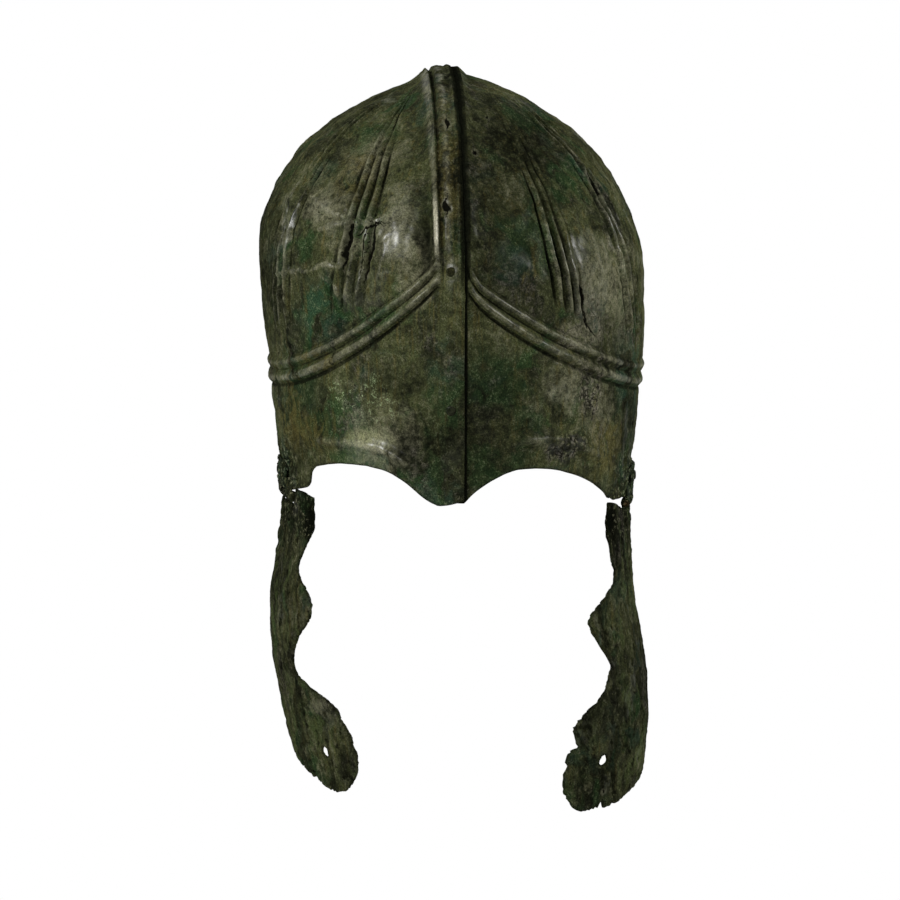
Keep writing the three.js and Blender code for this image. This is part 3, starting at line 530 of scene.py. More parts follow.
# %% Patina of a piece
def patina(name, seed, lift=1.0, crust=0.0, streaky=False, rust=False):
    """The corroded bronze of one piece. Lift scales its brightness, and crust adds lumps."""
    material = bpy.data.materials.new(name)
    material.use_nodes = True
    tree = material.node_tree
    shader = tree.nodes["Principled BSDF"]
    skin = Skin(tree, seed)
    base = blooms(skin, ground(skin))
    if streaky:
        base = long_streaks(skin, base)
    if rust:
        base = blend(step(skin.medium, 0.4, 0.6) * 0.7, base, RUST)
    base = rubbing(skin, pitting(skin, base))
    base = breaks(skin, crusts(skin, base, crust))
    if lift != 1.0:
        base = tinted(base, (lift, lift, lift))

    polish = step(cloud(skin.bent, 22, 3), 0.55, 0.7) * 0.4
    polish = (patched(polish, skin.painted, "smooth") * (1 - skin.dark * 0.5)).held()
    rough = (0.52 + (skin.fine - 0.5) * 0.6 + skin.pit * 0.2 - skin.rubbed * 0.12
             + skin.green * 0.1 - polish * 0.08)
    grains = step(cells(skin.shifted, 1.3), 0.5, 0.1) * step(skin.medium, 0.5, 0.7)
    height = (
        skin.medium * 0.5 + skin.fine * 0.5 + skin.grain * 0.34 + skin.grit * 0.16
        + skin.runs * 0.10 - skin.pit * 0.9 - skin.slit * 1.4 + grains * 0.2 + skin.lumps * 1.1
    )
    feel = {"Strength": 0.7, "Distance": 0.001, "Height": height * (1 - polish * 0.35)}
    sunken = skin.hollow + skin.pit + skin.slit
    burnished = (step(skin.medium, 0.36, 0.56) * step(sunken, 0.5, 0.0)).held()
    sheen = (0.015 + polish * (0.16 + step(skin.streaks, 0.4, 0.62) * 0.34)
             + skin.rubbed * (0.3 + skin.bright * 0.6))
    bump = make(tree, "ShaderNodeBump", None, feel)
    coat = (burnished * sheen).held()
    feeds = {"Base Color": base, "Roughness": rough.held(), "Coat Weight": coat, "Normal": bump}
    for label, wire in feeds.items():
        tree.links.new(wire.socket, shader.inputs[label])
    shader.inputs["Coat Roughness"].default_value = 0.3
    shader.inputs["Specular IOR Level"].default_value = 0.0
    print(name, "has", len(tree.nodes), "nodes")
    return material


# %% [markdown]
# ## Named sizes
#
# The skull is the same surface as in the CAD model: a dome on walls that draw in toward the
# rim. Its sizes are repeated here in millimetres, because this script reads nothing but the
# frame. A fine mesh on the same rules can then carry what hammering, burial and breaking did.

# %% Sizes of the skull
SHEET, CLEARANCE = 1.5, 0.3
BROW_LENGTH, NAPE_LENGTH = 118, 121
BROW_DOME, NAPE_DOME = 108, 104
BROW_TAPER, NAPE_TAPER = 0.02, 0.085
GUARD_FLARE, GUARD_FLARE_HEIGHT = 13, 34
WALL_HEIGHT = 190
KEEL_HIGH, KEEL_LOW, KEEL_BEAD, KEEL_GROOVE = 4.5, 2.3, 0.6, 0.5
BAND_PITCH, BAND_RIDGE_HALF = 7.5, 2.0
FLUTE_GAP, FLUTE_HEIGHT = 9, 1.3
EYEBROW_HEIGHT = 2.7
ARCH_DEPTH, NASAL_DEPTH, EAR_NOTCH_DEPTH, GUARD_DEPTH = 186.4, 203.6, 172, 204.5
RIM_ABOVE_AXIS = 3.2
LAP_UNDER = 1.143
NO_CRACK, NO_EDGE = 60.0, 99.0

right_half = {
    "flute_pitches": [4.3, 4, 3.2, 3.2], "flute_bolds": [1.25, 1.0, 0.9, 0.9],
    "flute_rises": [(0.3, 0.6, 0.45), (0.2, 0.5, 0.65), (0.1, 0.3, 0), (0.1, 0.3, 0)],
    "side": -1, "reach": 96.6, "rim_reach": 85.6, "taper_power": 1.15, "dome": 90,
    "keel_point": 30, "keel_width": 13, "brow_depth": 142.5, "brow_rise": 54.5,
    "brow_power": 2.5, "eyebrow_offset": 11, "nose_slope": -3.2, "tab_depth": 200.4,
    "hinge_depth": 207.6, "flute_tops": [19, 49, 97, 143], "flute_feet": [31, 65, 102, 140],
    "arch": [(0, 1), (3, 0.88), (6.5, 0.7), (10, 0.5), (14, 0.3), (18.5, 0.14), (23, 0.05), (28, 0),
             (33, 0), (38, 0.01), (44, 0.07), (51, 0.16), (54, 0.32)],
}
left_half = {
    "flute_pitches": [3.7, 4, 3.2, 3.2], "flute_bolds": [1.35, 1.05, 0.9, 0.9],
    "flute_rises": [(0.5, 0.8, 0.28), (0.2, 0.5, 0.65), (0.1, 0.3, 0), (0.1, 0.3, 0)],
    "side": 1, "reach": 96, "rim_reach": 89.3, "taper_power": 2.2, "dome": 107,
    "keel_point": 28, "keel_width": 7, "brow_depth": 145, "brow_rise": 47,
    "brow_power": 2.3, "eyebrow_offset": 14, "nose_slope": 6.4, "tab_depth": 207.2,
    "hinge_depth": 211.6, "flute_tops": [14, 37, 94, 144], "flute_feet": [31, 65, 102, 140],
    "arch": [(0, 0.52), (3, 0.36), (6.5, 0.22), (10, 0.1), (14, 0.03), (18.5, 0.03), (23, 0.06),
             (28, 0.13), (33, 0.24), (38, 0.38), (44, 0.6), (51, 0.94), (54, 1.16)],
}
RIDGE_STEPS = [-1.55, -1, -0.5, 0, 0.5, 1, 1.55]
PLAIN_GAPS = [[42, 50], [83], [121], [155, 168, 180]]
RIM_ANGLES = [
    0, 3, 6.5, 10, 14, 18.5, 23, 28, 33, 38, 44, 51, 54, 56.4, 60, 67, 75, 83, 90, 93, 96, 99, 103,
    107, 111, 115, 118, 122.5, 126, 130, 135, 140, 145, 150, 155, 161, 170, 180,
]


# %% [markdown]
# The surface itself is written for whole arrays at once, because the fine mesh has some seventy
# thousand points. An angle runs from the face at 0 to the nape at 180, a level from the crown
# down, and near the seam the distance from the seam takes the angle's place. Noise may push a
# point a little past the CAD model's box, so the last helper here squeezes such points back.


# %% The skull's surface
def mix(a, b, share):
    return a + (b - a) * share


def smooth(low, high, value):
    share = np.clip((np.asarray(value, float) - low) / (high - low), 0, 1)
    return share * share * (3 - 2 * share)


def bell(offset, width):
    """A smooth hump: 1 at no offset, and about a third at its width."""
    return np.exp(-((offset / width) ** 2))


def dome_at(half, angle):
    across = np.sin(np.radians(angle)) ** 2
    return mix(np.where(angle < 90, BROW_DOME, NAPE_DOME), half["dome"], across)


def level_at(depth, dome):
    inside = np.arccos(np.clip(1 - depth / dome, -1, 1)) / (math.pi / 2)
    return np.where(depth < dome, inside, 1 + (depth - dome) / (dome * math.pi / 2))


def half_point(half, angle, level, across):
    """Points of the plain skull in mm. Across is nan outside the keel band."""
    ahead = np.cos(np.radians(angle))
    aside = np.sin(np.radians(angle))
    dome = dome_at(half, angle)
    climb = np.minimum(level, 1) * math.pi / 2
    drop = np.maximum(level - 1, 0) * dome * math.pi / 2
    fall = drop / (WALL_HEIGHT - dome)
    depth = np.where(drop > 0, dome + drop, 0)
    flare = GUARD_FLARE * smooth(GUARD_DEPTH - GUARD_FLARE_HEIGHT, GUARD_DEPTH, depth)
    guard = smooth(112, 150, angle) * flare
    wall_reach = mix(half["reach"], half["rim_reach"], np.minimum(fall, 1) ** half["taper_power"])
    reach = wall_reach + guard * (1 - smooth(90, 180, angle))
    brow_taper, nape_taper = BROW_TAPER * np.minimum(fall, 1), NAPE_TAPER * smooth(0, 0.8, fall)
    taper = np.where(angle < 90, brow_taper, nape_taper)
    length = np.where(angle < 90, BROW_LENGTH, NAPE_LENGTH) * (1 - taper) + guard
    keel = half["keel_width"]
    x = np.where(np.isnan(across), keel + (reach - keel) * np.sin(climb) * aside, across)
    point = half["keel_point"]
    crease = np.sqrt(1 - (point / (reach + point)) ** 2)
    rest = np.sqrt(np.maximum(1 - ((x + point) / (reach + point)) ** 2, 0)) / crease
    span = np.maximum(np.hypot(np.sin(climb) * ahead, np.cos(climb)), 1e-9)
    y = -length * rest * np.sin(climb) * ahead / span
    z = SHEET - dome * (1 - rest * np.cos(climb) / span) - drop
    return np.stack([half["side"] * x, y, z], -1)


def skull_point(half, angle, level, across):
    """As half_point, but a distance below zero lies under the other half."""
    own = half_point(half, angle, level, across)
    if not np.any(across < 0):
        return own
    other = half_point(right_half, angle, level, -across)
    return np.where((across < 0)[..., None], other, own)


def skull_normal(half, angle, level, across):
    tiny = 0.003
    band = ~np.isnan(across)
    start = np.where(band, across, half["keel_width"])
    base = skull_point(half, angle, level, across)
    lower = skull_point(half, angle, level + tiny, across)
    turned = skull_point(half, np.where(angle < 90, angle + 0.2, angle - 0.2), level, across)
    shifted = skull_point(half, angle, level, np.where(start < 0, start - 0.2, start + 0.2))
    near = skull_point(half, angle, level, start)
    beside = np.where((band | (level < tiny))[..., None], shifted - near, turned - base)
    normal = np.cross(beside, lower - base)
    normal /= np.maximum(np.linalg.norm(normal, axis=-1, keepdims=True), 1e-12)
    out = base + np.array([0, 0, half["dome"]])
    return np.where((normal * out).sum(-1, keepdims=True) < 0, -normal, normal)


def inside_box(points):
    """Squeezes points in metres back into the CAD box, which they then miss by a third."""
    margin, share = 0.0008, 0.65
    low, high = (np.array(tuple(corner)) for corner in (cad_low, cad_high))
    below, above = low + margin - points, points - high + margin
    return points + share * np.maximum(below, 0) - share * np.maximum(above, 0)


widest = half_point(right_half, np.array([90.0]), np.array([1.0]), np.array([np.nan]))
print("widest point of the right half, in mm:", np.round(widest[0], 1).tolist())

# %% [markdown]
# ## Relief raised by the smith
#
# The flutes, the double band and the ridge over the eye are all driven up from inside, so the
# sheet stays equally thick and both its faces follow them. Each is a smooth profile over the
# grid's own lines: the columns lean with the flutes, and the rows follow the band.


# %% Columns and rows
def eased(points, value):
    """A smooth curve through points (monotone cubic), for outlines."""
    xs, ys = (np.array(column, float) for column in zip(*points))
    gap = np.diff(xs)
    slope = np.diff(ys) / gap
    left, right = slope[:-1], slope[1:]
    inner = np.where(right * left > 0, 2 * right * left / (right + left + 1e-12), 0)
    tangents = np.concatenate([[slope[0]], inner, [slope[-1]]])
    i = np.clip(np.searchsorted(xs, value, side="right") - 1, 0, len(gap) - 1)
    t = np.clip((value - xs[i]) / gap[i], 0, 1)
    a, b = ys[i], ys[i + 1]
    m, n = tangents[i] * gap[i], tangents[i + 1] * gap[i]
    return ((2 * t**3 - 3 * t**2 + 1) * a + (t**3 - 2 * t**2 + t) * m
            + (3 * t**2 - 2 * t**3) * b + (t**3 - t**2) * n)


def rim_depth(half, angle):
    """Depth of the rim for an angle from the face: arch, tab, hinge, ear notch and neck guard."""
    edge_depth = half["hinge_depth"] - RIM_ABOVE_AXIS
    arch = mix(ARCH_DEPTH, NASAL_DEPTH, eased(half["arch"], angle))
    arch_end = mix(ARCH_DEPTH, NASAL_DEPTH, half["arch"][-1][1])
    tab_depths = [arch_end, half["tab_depth"] - 1, half["tab_depth"] + 0.6, edge_depth]
    tab = np.interp(angle, [54, 55.4, 57.5, 70], tab_depths)
    notch = smooth(91, 104, angle) * (1 - smooth(111, 129, angle))
    outer = mix(edge_depth, GUARD_DEPTH, smooth(91, 129, angle))
    back = mix(outer, EAR_NOTCH_DEPTH, notch)
    return np.where(angle <= 54, arch, np.where(angle < 70, tab, back))


def brow_depth_at(half, angle):
    front = np.maximum(1 - angle / 90, 0)
    climb = 1.0 * (1 - smooth(0, 9, angle)) if half["side"] < 0 else 0
    return half["brow_depth"] - half["brow_rise"] * front ** half["brow_power"] - climb


def fine_columns(half):
    """Angles at the crown, the band and the rim, and the place in a flute group (nan outside)."""
    marks = [(a * 0.7, a, np.nan) for a in (0, 8, 16)]
    for group, foot in enumerate(half["flute_feet"]):
        top, pitch = half["flute_tops"][group], half["flute_pitches"][group]
        for ridge_step in RIDGE_STEPS:
            marks.append((top + ridge_step * pitch * 0.75, foot + ridge_step * pitch, ridge_step))
        for angle in PLAIN_GAPS[group]:
            lean = 0 if angle == 180 else top - foot
            marks.append((angle + lean * 0.8, angle, np.nan))
    tops, feet, ridges = zip(*marks)
    positions = []
    for i in range(len(marks) - 1):
        inside = not (np.isnan(ridges[i]) or np.isnan(ridges[i + 1]))
        count = 8 if inside else max(3, math.ceil((feet[i + 1] - feet[i]) / 0.85))
        positions += [i + k / count for k in range(count)]
    positions.append(len(marks) - 1)
    positions = np.array(positions)
    order = np.arange(len(marks))
    top = np.interp(positions, order, tops)
    foot = np.interp(positions, order, feet)
    rim = np.interp(positions, order, RIM_ANGLES)
    return top, foot, rim


def drift_along(share, key):
    """A slow change along a ridge, different for each key, between about -1 and 1."""
    return np.array(noise.noise(Vector((share * 5.0, key * 7.31, key * 2.17)))) * 1.6


def flute_profile(half, foot, share):
    """Height across the flutes at one share of their length: below 0 in grooves, 1 on crests."""
    height = np.zeros_like(foot)
    for group, centre in enumerate(half["flute_feet"]):
        pitch, bold = half["flute_pitches"][group], half["flute_bolds"][group]
        low, high, least = half["flute_rises"][group]
        strength = (least + (1 - least) * smooth(low, high, share)) * smooth(0.08, 0.3, share)
        key = centre + 50 * half["side"]
        place = (foot - centre) / pitch + 0.16 * drift_along(share, key)
        for crest in (-1, 0, 1):
            own = 0.85 + 0.5 * drift_along(share, key + crest * 3.3)
            width = 0.27 + 0.06 * drift_along(share * 0.8, key - crest * 5.1)
            lean = 0.1 * drift_along(share * 1.7, key + crest)
            height += own * bell(place - crest - lean, width) * bold * strength
        for groove in (-1.52, -0.5, 0.5, 1.5):
            own = 0.5 + 0.5 * drift_along(share * 1.3, key + groove * 2.2)
            height -= own * bell(place - groove, 0.14) * bold * strength * 1.1
    return height


top, foot, rim = fine_columns(right_half)
print("columns of the right half:", len(foot))

# %% [markdown]
# Hammer marks, dents and the bends of burial are smooth noise on the surface, in three sizes.
# Both halves read the same noise, so they still lie on each other in the seam. The breaks are
# drawn as lines in the view from the front, each a chain of points in millimetres with a half
# width. The mesh keeps the signed distance to the nearest line, which a shader can cut at any
# width more finely than the mesh itself is spaced.


# %% Wear on the surface
def uneven(points, size, depth, octaves=3):
    """Noise of that blotch size over an array of points, as a height in mm."""
    flat = points.reshape(-1, 3) / size
    values = np.array([noise.fractal(Vector(p), 0.6, 2.1, octaves) for p in flat])
    return values.reshape(points.shape[:-1]) * depth


def from_segment(x, z, start, end):
    """Offsets from the nearest point of a segment, and that point's share of its length."""
    dx, dz = end[0] - start[0], end[1] - start[1]
    t = np.clip(((x - start[0]) * dx + (z - start[1]) * dz) / (dx * dx + dz * dz), 0, 1)
    return x - start[0] - t * dx, z - start[1] - t * dz, t


def crack_distance(points, lines):
    """Signed distance to the nearest line in the front view, and the line's half width there."""
    best = np.full(points.shape[:-1], NO_CRACK)
    signed, width = best.copy(), np.full(points.shape[:-1], -1.0)
    x = points[..., 0] + uneven(points, 5, 1.1, 3)
    z = points[..., 2] + uneven(points + 50, 5, 1.1, 3)
    for line in lines:
        for start, end in zip(line, line[1:]):
            ox, oz, t = from_segment(x, z, start, end)
            away_from = np.hypot(ox, oz)
            nearer = (away_from < best) & (points[..., 1] < 0)
            turn = (end[0] - start[0]) * oz - (end[1] - start[1]) * ox
            best = np.where(nearer, away_from, best)
            signed = np.where(nearer, np.where(turn < 0, -away_from, away_from), signed)
            width = np.where(nearer, mix(start[2], end[2], t), width)
    return signed, width


# Breaks and holes by the side of their half: across, height and half width in mm
cracks = {
    -1: [
        [(-51.8, -69, 0.8), (-53.5, -75, 1.1), (-56.8, -83.3, 0.6), (-56.5, -90, 0.2)],
        [(-40.5, -67.5, 0.5), (-42.5, -76, 0.9), (-45.5, -86, 0.5), (-47.0, -96, 0.2)],
        [(-48.1, -72.7, 0.6), (-44.5, -70.2, 0.4), (-40.5, -67.8, 0.6)],
        [(-46, -74, 0.5), (-48, -82, 0.4), (-49, -92, 0.15)],
        [(-5.4, -23.2, 1.1), (-5.4, -24.0, 1.1)],
        [(-7.6, -59.6, 1.5), (-7.6, -60.8, 1.5)],
    ],
    1: [
        [(56.4, -95.0, 0.3), (57.6, -99.5, 1.1), (58.4, -104.5, 1.0), (59.6, -112.4, 0.35),
         (60.4, -116.0, 0.35), (61.7, -120.1, 0.45), (65.5, -124.2, 0.1)],
        [(62.8, -45.6, 0.2), (66.0, -52.0, 0.6), (67.8, -56.8, 0.5), (69.5, -60.5, 0.15),
         (72.1, -64.0, 0.4), (75.1, -72.6, 0.2)],
        [(44.8, -66.0, 0.4), (46.0, -69.5, 0.15), (48.0, -74.9, 0.35)],
        [(6.3, -34.2, 0.8), (6.3, -34.8, 0.8)],
        [(14.2, -17.7, 0.6), (14.2, -18.1, 0.6)],
    ],
}
print("breaks and holes:", sum(len(lines) for lines in cracks.values()))

# %% [markdown]
# A dent is a smooth hump or hollow at a place of the front view, and a crease is a rounded fold
# along a line. Both move the sheet itself, so its outline bends with them. The folds are given
# on their own as well, because the patina is paler along them, partly worn and partly a painted
# highlight.

# %% Dents and creases
# Middle, radii and height in mm
dents = [
    ((-17, -76), (4.5, 20), -2.2), ((-33, -68), (9, 20), 1.0), ((-50, -81), (8, 9), -1.5),
    ((-40, -60), (5, 9), -1.0), ((-66, -62), (9, 9), 1.1), ((-73, -84), (7, 10), -1.1),
    ((-80, -64), (3, 22), 0.8), ((38, -33), (9, 14), -1.3), ((64, -88), (12, 20), 1.0),
    ((44, -74), (6, 18), -0.8), ((16, -60), (7, 26), -0.9), ((-57, -159), (16, 12), 0.6),
    ((20, -146), (18, 14), -0.7), ((54, -146), (10, 11), 0.8), ((-24, -150), (12, 18), -0.5),
]
# Line, height and half width in mm
creases = [
    ([(-86, -94), (-74, -92.5), (-66, -89), (-57, -88.5)], 0.7, 0.9),
    ([(-68, -93), (-61, -98), (-58, -103)], 0.5, 0.8),
    ([(-72, -56), (-64, -62), (-56, -67)], 0.6, 0.7),
    ([(-70, -62), (-62, -67), (-54, -70)], -0.25, 0.7),
    ([(-67.5, -72), (-58, -68.5), (-50, -68), (-41, -67)], 0.8, 0.9),
    ([(-36, -73), (-37.5, -82), (-41, -94)], 0.5, 0.7),
    ([(72, -76), (78, -86), (79, -96)], 0.5, 0.8),
]


def pressed(points):
    """Height of the dents and creases on the side of the face, and the creases' folds alone."""
    x = points[..., 0] + uneven(points, 8, 1.4, 3)
    z = points[..., 2] + uneven(points + 90, 8, 1.4, 3)
    height, folds = np.zeros(x.shape), np.zeros(x.shape)
    for (cx, cz), (rx, rz), rise in dents:
        height += rise * np.exp(-(((x - cx) / rx) ** 2 + ((z - cz) / rz) ** 2))
    for line, rise, half_width in creases:
        near = np.full(x.shape, NO_EDGE)
        for start, end in zip(line, line[1:]):
            ox, oz, _ = from_segment(x, z, start, end)
            near = np.minimum(near, np.hypot(ox, oz))
        fold = rise * bell(near, half_width * 1.3)
        height += 1.3 * fold
        folds += fold
    at_face = smooth(-8, -30, points[..., 1])
    return height * at_face, folds * at_face


print("dents:", len(dents), "creases:", len(creases))


# %% [markdown]
# ## The two halves of the skull
#
# Each half is one closed sheet: a fine outer wall, a coarser inner wall one sheet thickness
# behind it, and a rounded edge between them. The outer wall is spaced at about a third of a
# millimetre across the ridges and a little over a millimetre elsewhere.


# %% Keel band
def keel_raise(level):
    return mix(KEEL_HIGH, KEEL_LOW, smooth(0.15, 0.85, level))


# Sections of the keel: share of its width from the seam, with a share of its height or mm
SOFT_KEEL = [(0, 1), (0.16, 0.98), (0.338, 0.94), (0.477, 0.84), (0.615, 0.66), (0.723, 0.46),
             (0.877, 0.14), (1, 0)]
RIGHT_KEEL = [(0, 0.8), (0.12, 1), (0.24, 0.98), (0.36, 1), (0.52, 1), (0.66, 1), (0.79, 0.95),
              (0.91, 0.98), (1, 0.8)]
RIGHT_BEADS = [(0, -0.6), (0.12, 0), (0.24, -0.4), (0.36, 0.2), (0.52, KEEL_BEAD * 1.2),
               (0.66, 0.5), (0.79, -KEEL_GROOVE * 1.6), (0.91, 0.9), (1, 0.8)]
LEFT_KEEL = [(-LAP_UNDER, 1), (0.1, 1), (0.33, 0.8), (0.63, 0.4), (1, 0)]
LEFT_BEADS = [(-LAP_UNDER, 0), (0.1, 0), (0.33, KEEL_BEAD), (0.63, KEEL_BEAD * 0.7), (1, 0)]


def keel_relief(half, share, level, angle):
    """Height of the keel band over the plain skull, by the share of its width from the seam."""
    raised = keel_raise(level)
    crisp = 1 - smooth(0.8, 0.9, level) * (angle < 90)
    if half["side"] < 0:
        band = mix(eased(SOFT_KEEL, share), eased(RIGHT_KEEL, share), crisp)
        return raised * band + eased(RIGHT_BEADS, share) * crisp
    under = raised - SHEET - CLEARANCE
    plain = under * eased(LEFT_KEEL, share) + eased(LEFT_BEADS, share) * crisp
    across = -share * half["keel_width"] / right_half["keel_width"]
    lapped = raised * mix(eased(SOFT_KEEL, across), 1, crisp) - SHEET - CLEARANCE
    return np.where(share < 0, lapped, plain)


print("keel over the crown and the brow, in mm:", keel_raise(0.0), round(float(keel_raise(0.8)), 2))

# %% Rows of one half
DOME_ROWS, BAND_ROWS, LOWER_ROWS = 104, 40, 50


def band_relief(depth, brow, foot):
    """The double brow band with the hollows round it, flatter at the temples."""
    first = bell(depth - brow, 1.9)
    second = bell(depth - brow - BAND_PITCH, 2.3)
    groove = bell(depth - brow - BAND_PITCH * 0.46, 0.8)
    above = bell(depth - brow + 2.9, 0.9) * 0.4
    below = bell(depth - brow - BAND_PITCH - 3.6, 1.2) * 0.95
    flatter = mix(1, 0.62, smooth(35, 75, foot) * (1 - smooth(120, 150, foot)))
    return (1.35 * first + 1.6 * second - 0.6 * groove - (above + below)) * flatter


def grid_rows(half, top, foot, rim):
    """Angle, level, relief and depth above the rim for each row of each column."""
    brow = brow_depth_at(half, foot)
    dome = dome_at(half, foot)
    flute_foot = level_at(brow - FLUTE_GAP, dome)
    clear = np.full_like(top, NO_EDGE)
    rows = []
    for share in np.linspace(0, 1, DOME_ROWS + 1)[1:]:
        angle = mix(top, foot, share**0.8)
        flutes = flute_profile(half, foot, share) * (1 - smooth(0.93, 1.0, share))
        rows.append((angle, flute_foot * share, flutes, clear))
    band_end = brow + BAND_PITCH + BAND_RIDGE_HALF + 3.6
    for share in np.linspace(0, 1, BAND_ROWS + 1)[1:]:
        depth = mix(brow - FLUTE_GAP, band_end, share)
        rows.append((foot, level_at(depth, dome), band_relief(depth, brow, foot), clear))
    edge = rim_depth(half, rim)
    eyebrow = mix(edge - half["eyebrow_offset"], mix(edge, band_end, 0.4), smooth(40, 60, rim))
    strength = smooth(2, 12, rim) * (1 - smooth(44, 54, rim))
    for share in [*np.linspace(0, 1, LOWER_ROWS)[1:-1], 0.993, 1.0]:
        depth = mix(band_end, edge, share)
        angle = mix(foot, rim, (share * share * (3 - 2 * share)) ** 0.7)
        ridge = bell(depth - eyebrow, 3.3) * strength * EYEBROW_HEIGHT / FLUTE_HEIGHT
        rows.append((angle, level_at(depth, dome_at(half, angle)), ridge, edge - depth))
    return [np.stack(part) for part in zip(*rows)]


print("rows from crown to rim:", DOME_ROWS + BAND_ROWS + LOWER_ROWS)


# %% Grid of one half
def skull_grid(half):
    """Places and normals of the plain skull, and the heights and values that lie on them."""
    top, foot, rim = fine_columns(half)
    angle, level, relief, edge = grid_rows(half, top, foot, rim)
    right, keel = half["side"] < 0, half["keel_width"]
    shares = np.linspace(0 if right else -LAP_UNDER, 1, 30)[:-1]
    inward = np.maximum(shares, 0)
    lines = {end: np.array([end]) for end in (0.0, 180.0)}
    seam = {end: grid_rows(right_half, line, line, line)[1] for end, line in lines.items()}

    def band(end, column, order):
        """The columns of the keel at the face (0) or the nape (180)."""
        own_level, own_relief, own_edge = (part[:, column] for part in (level, relief, edge))
        mixed = mix(seam[end], own_level[:, None], inward[None, order])
        if right:
            fading = smooth(0.72, 1.0, shares[order])
        else:
            fading = smooth(0.05, 0.7, shares[order])
        if end == 0.0:
            tip = half["nose_slope"] / (BROW_DOME * math.pi / 2) * (1 - inward[order]) ** 1.6
            near_rim = np.clip(1 - own_edge / 8.0, 0, 1)[:, None]
            mixed = mix(mixed, own_level[:, None] + tip[None], near_rim)
        else:
            fading = smooth(-0.2, 1.0, shares[order])
        across = np.broadcast_to(keel * shares[None, order], mixed.shape)
        lift = keel_relief(half, shares[order][None], mixed, end)
        return (np.full(mixed.shape, end), mixed, across, lift, own_relief[:, None] * fading[None],
                np.broadcast_to(own_edge[:, None], mixed.shape))

    forward = np.arange(len(shares))
    front, back = band(0.0, 0, forward), band(180.0, -1, forward[::-1])
    plain = np.full(angle.shape, np.nan)
    beyond = np.abs(skull_point(half, angle, level, plain)[..., 0]) - keel
    crisp = np.where(angle < 90, 1 - smooth(0.8, 0.9, level), 1)
    reach = mix(5.2, 3.0, smooth(0.1, 0.5, level))
    fillet = (keel_raise(level) * 0.8 + 0.7) * np.exp(-((np.maximum(beyond, 0) / reach) ** 1.5))
    middle = (angle, level, plain, fillet * crisp * right, relief, edge)
    angle, level, across, lift, relief, edge = (
        np.concatenate(parts, 1) for parts in zip(front, middle, back))
    crown_shares = np.append(shares, 1.0)
    zero = np.zeros_like(crown_shares)
    crown = (half, zero, zero, keel * crown_shares)
    return {
        "base": skull_point(half, angle, level, across),
        "normal": skull_normal(half, angle, level, across),
        "lift": lift, "relief": relief, "edge": edge, "across": across,
        "crown_base": skull_point(*crown), "crown_normal": skull_normal(*crown),
        "crown_lift": keel_relief(half, crown_shares, zero, 0.0), "band": len(shares),
    }


grid = skull_grid(right_half)
print("outer wall of one half:", grid["base"].shape[0], "rows of", grid["base"].shape[1])


# %% [markdown]
# The patina has to know where the smith's lines lie, so each point carries a number, raised:
# about 1 on a worn crest, which is partly painted as highlight, and below 0 in a groove, dark
# with patina and painted shade. The keel has crests and grooves of its own, a painted black
# shadow along the seam's gap, and a painted highlight on the bead beside it, which goes on past
# the keel's width.


# %% Painted light and shade of the keel
def keel_light_and_shade(half, share):
    """Keel band for the patina: painted shadow at the seam, dark grooves, beads worn and painted as
    highlight.
    """
    if half["side"] < 0:
        stops = [0, 0.06, 0.13, 0.25, 0.36, 0.5, 0.66, 0.79, 0.9, 1.0]
        tones = [-1.0, -1.0, 0.0, -0.2, 0.5, 0.9, 0.5, -0.8, 0.9, 1.0]
    else:
        stops = [-0.2, 0.02, 0.3, 0.5, 0.8, 1.0]
        tones = [-1, -1, -0.8, 0.5, 0.1, 0.0]
    outside = np.isnan(share)
    return np.where(outside, 0.0, np.interp(np.where(outside, 1.0, share), stops, tones))


def bead_highlight(half, grid):
    """A painted highlight on the flank of the right half's bead, which runs on past the keel band.
    """
    beyond = np.abs(grid["base"][..., 0]) - half["keel_width"]
    spread = mix(3.6, 1.2, smooth(-20, -60, grid["base"][..., 2]))
    flank = np.exp(-((np.maximum(beyond, 0) / spread) ** 1.5))
    return np.where(np.isnan(grid["across"]) & (beyond < 8), flank, 0.0) * (half["side"] < 0)


print("tone of the bead's crest:", keel_light_and_shade(right_half, np.array(0.5)))

# %% [markdown]
# Now the wear is laid on. The bends move both walls, the hammer marks and cracks only the outer
# one. Low on each side the sheet is lumpy with crust. Below the brow the keel ends, and the
# columns beside its end are smoothed sideways, so that no kink stays there. The lap's free edge
# wavers a little, as a cut edge does.


# %% Worn walls
CALM_PASSES = 60
# Half width of the strip painted black along the seam on the left half, the shadow in the gap
SEAM_HALF = 1.0


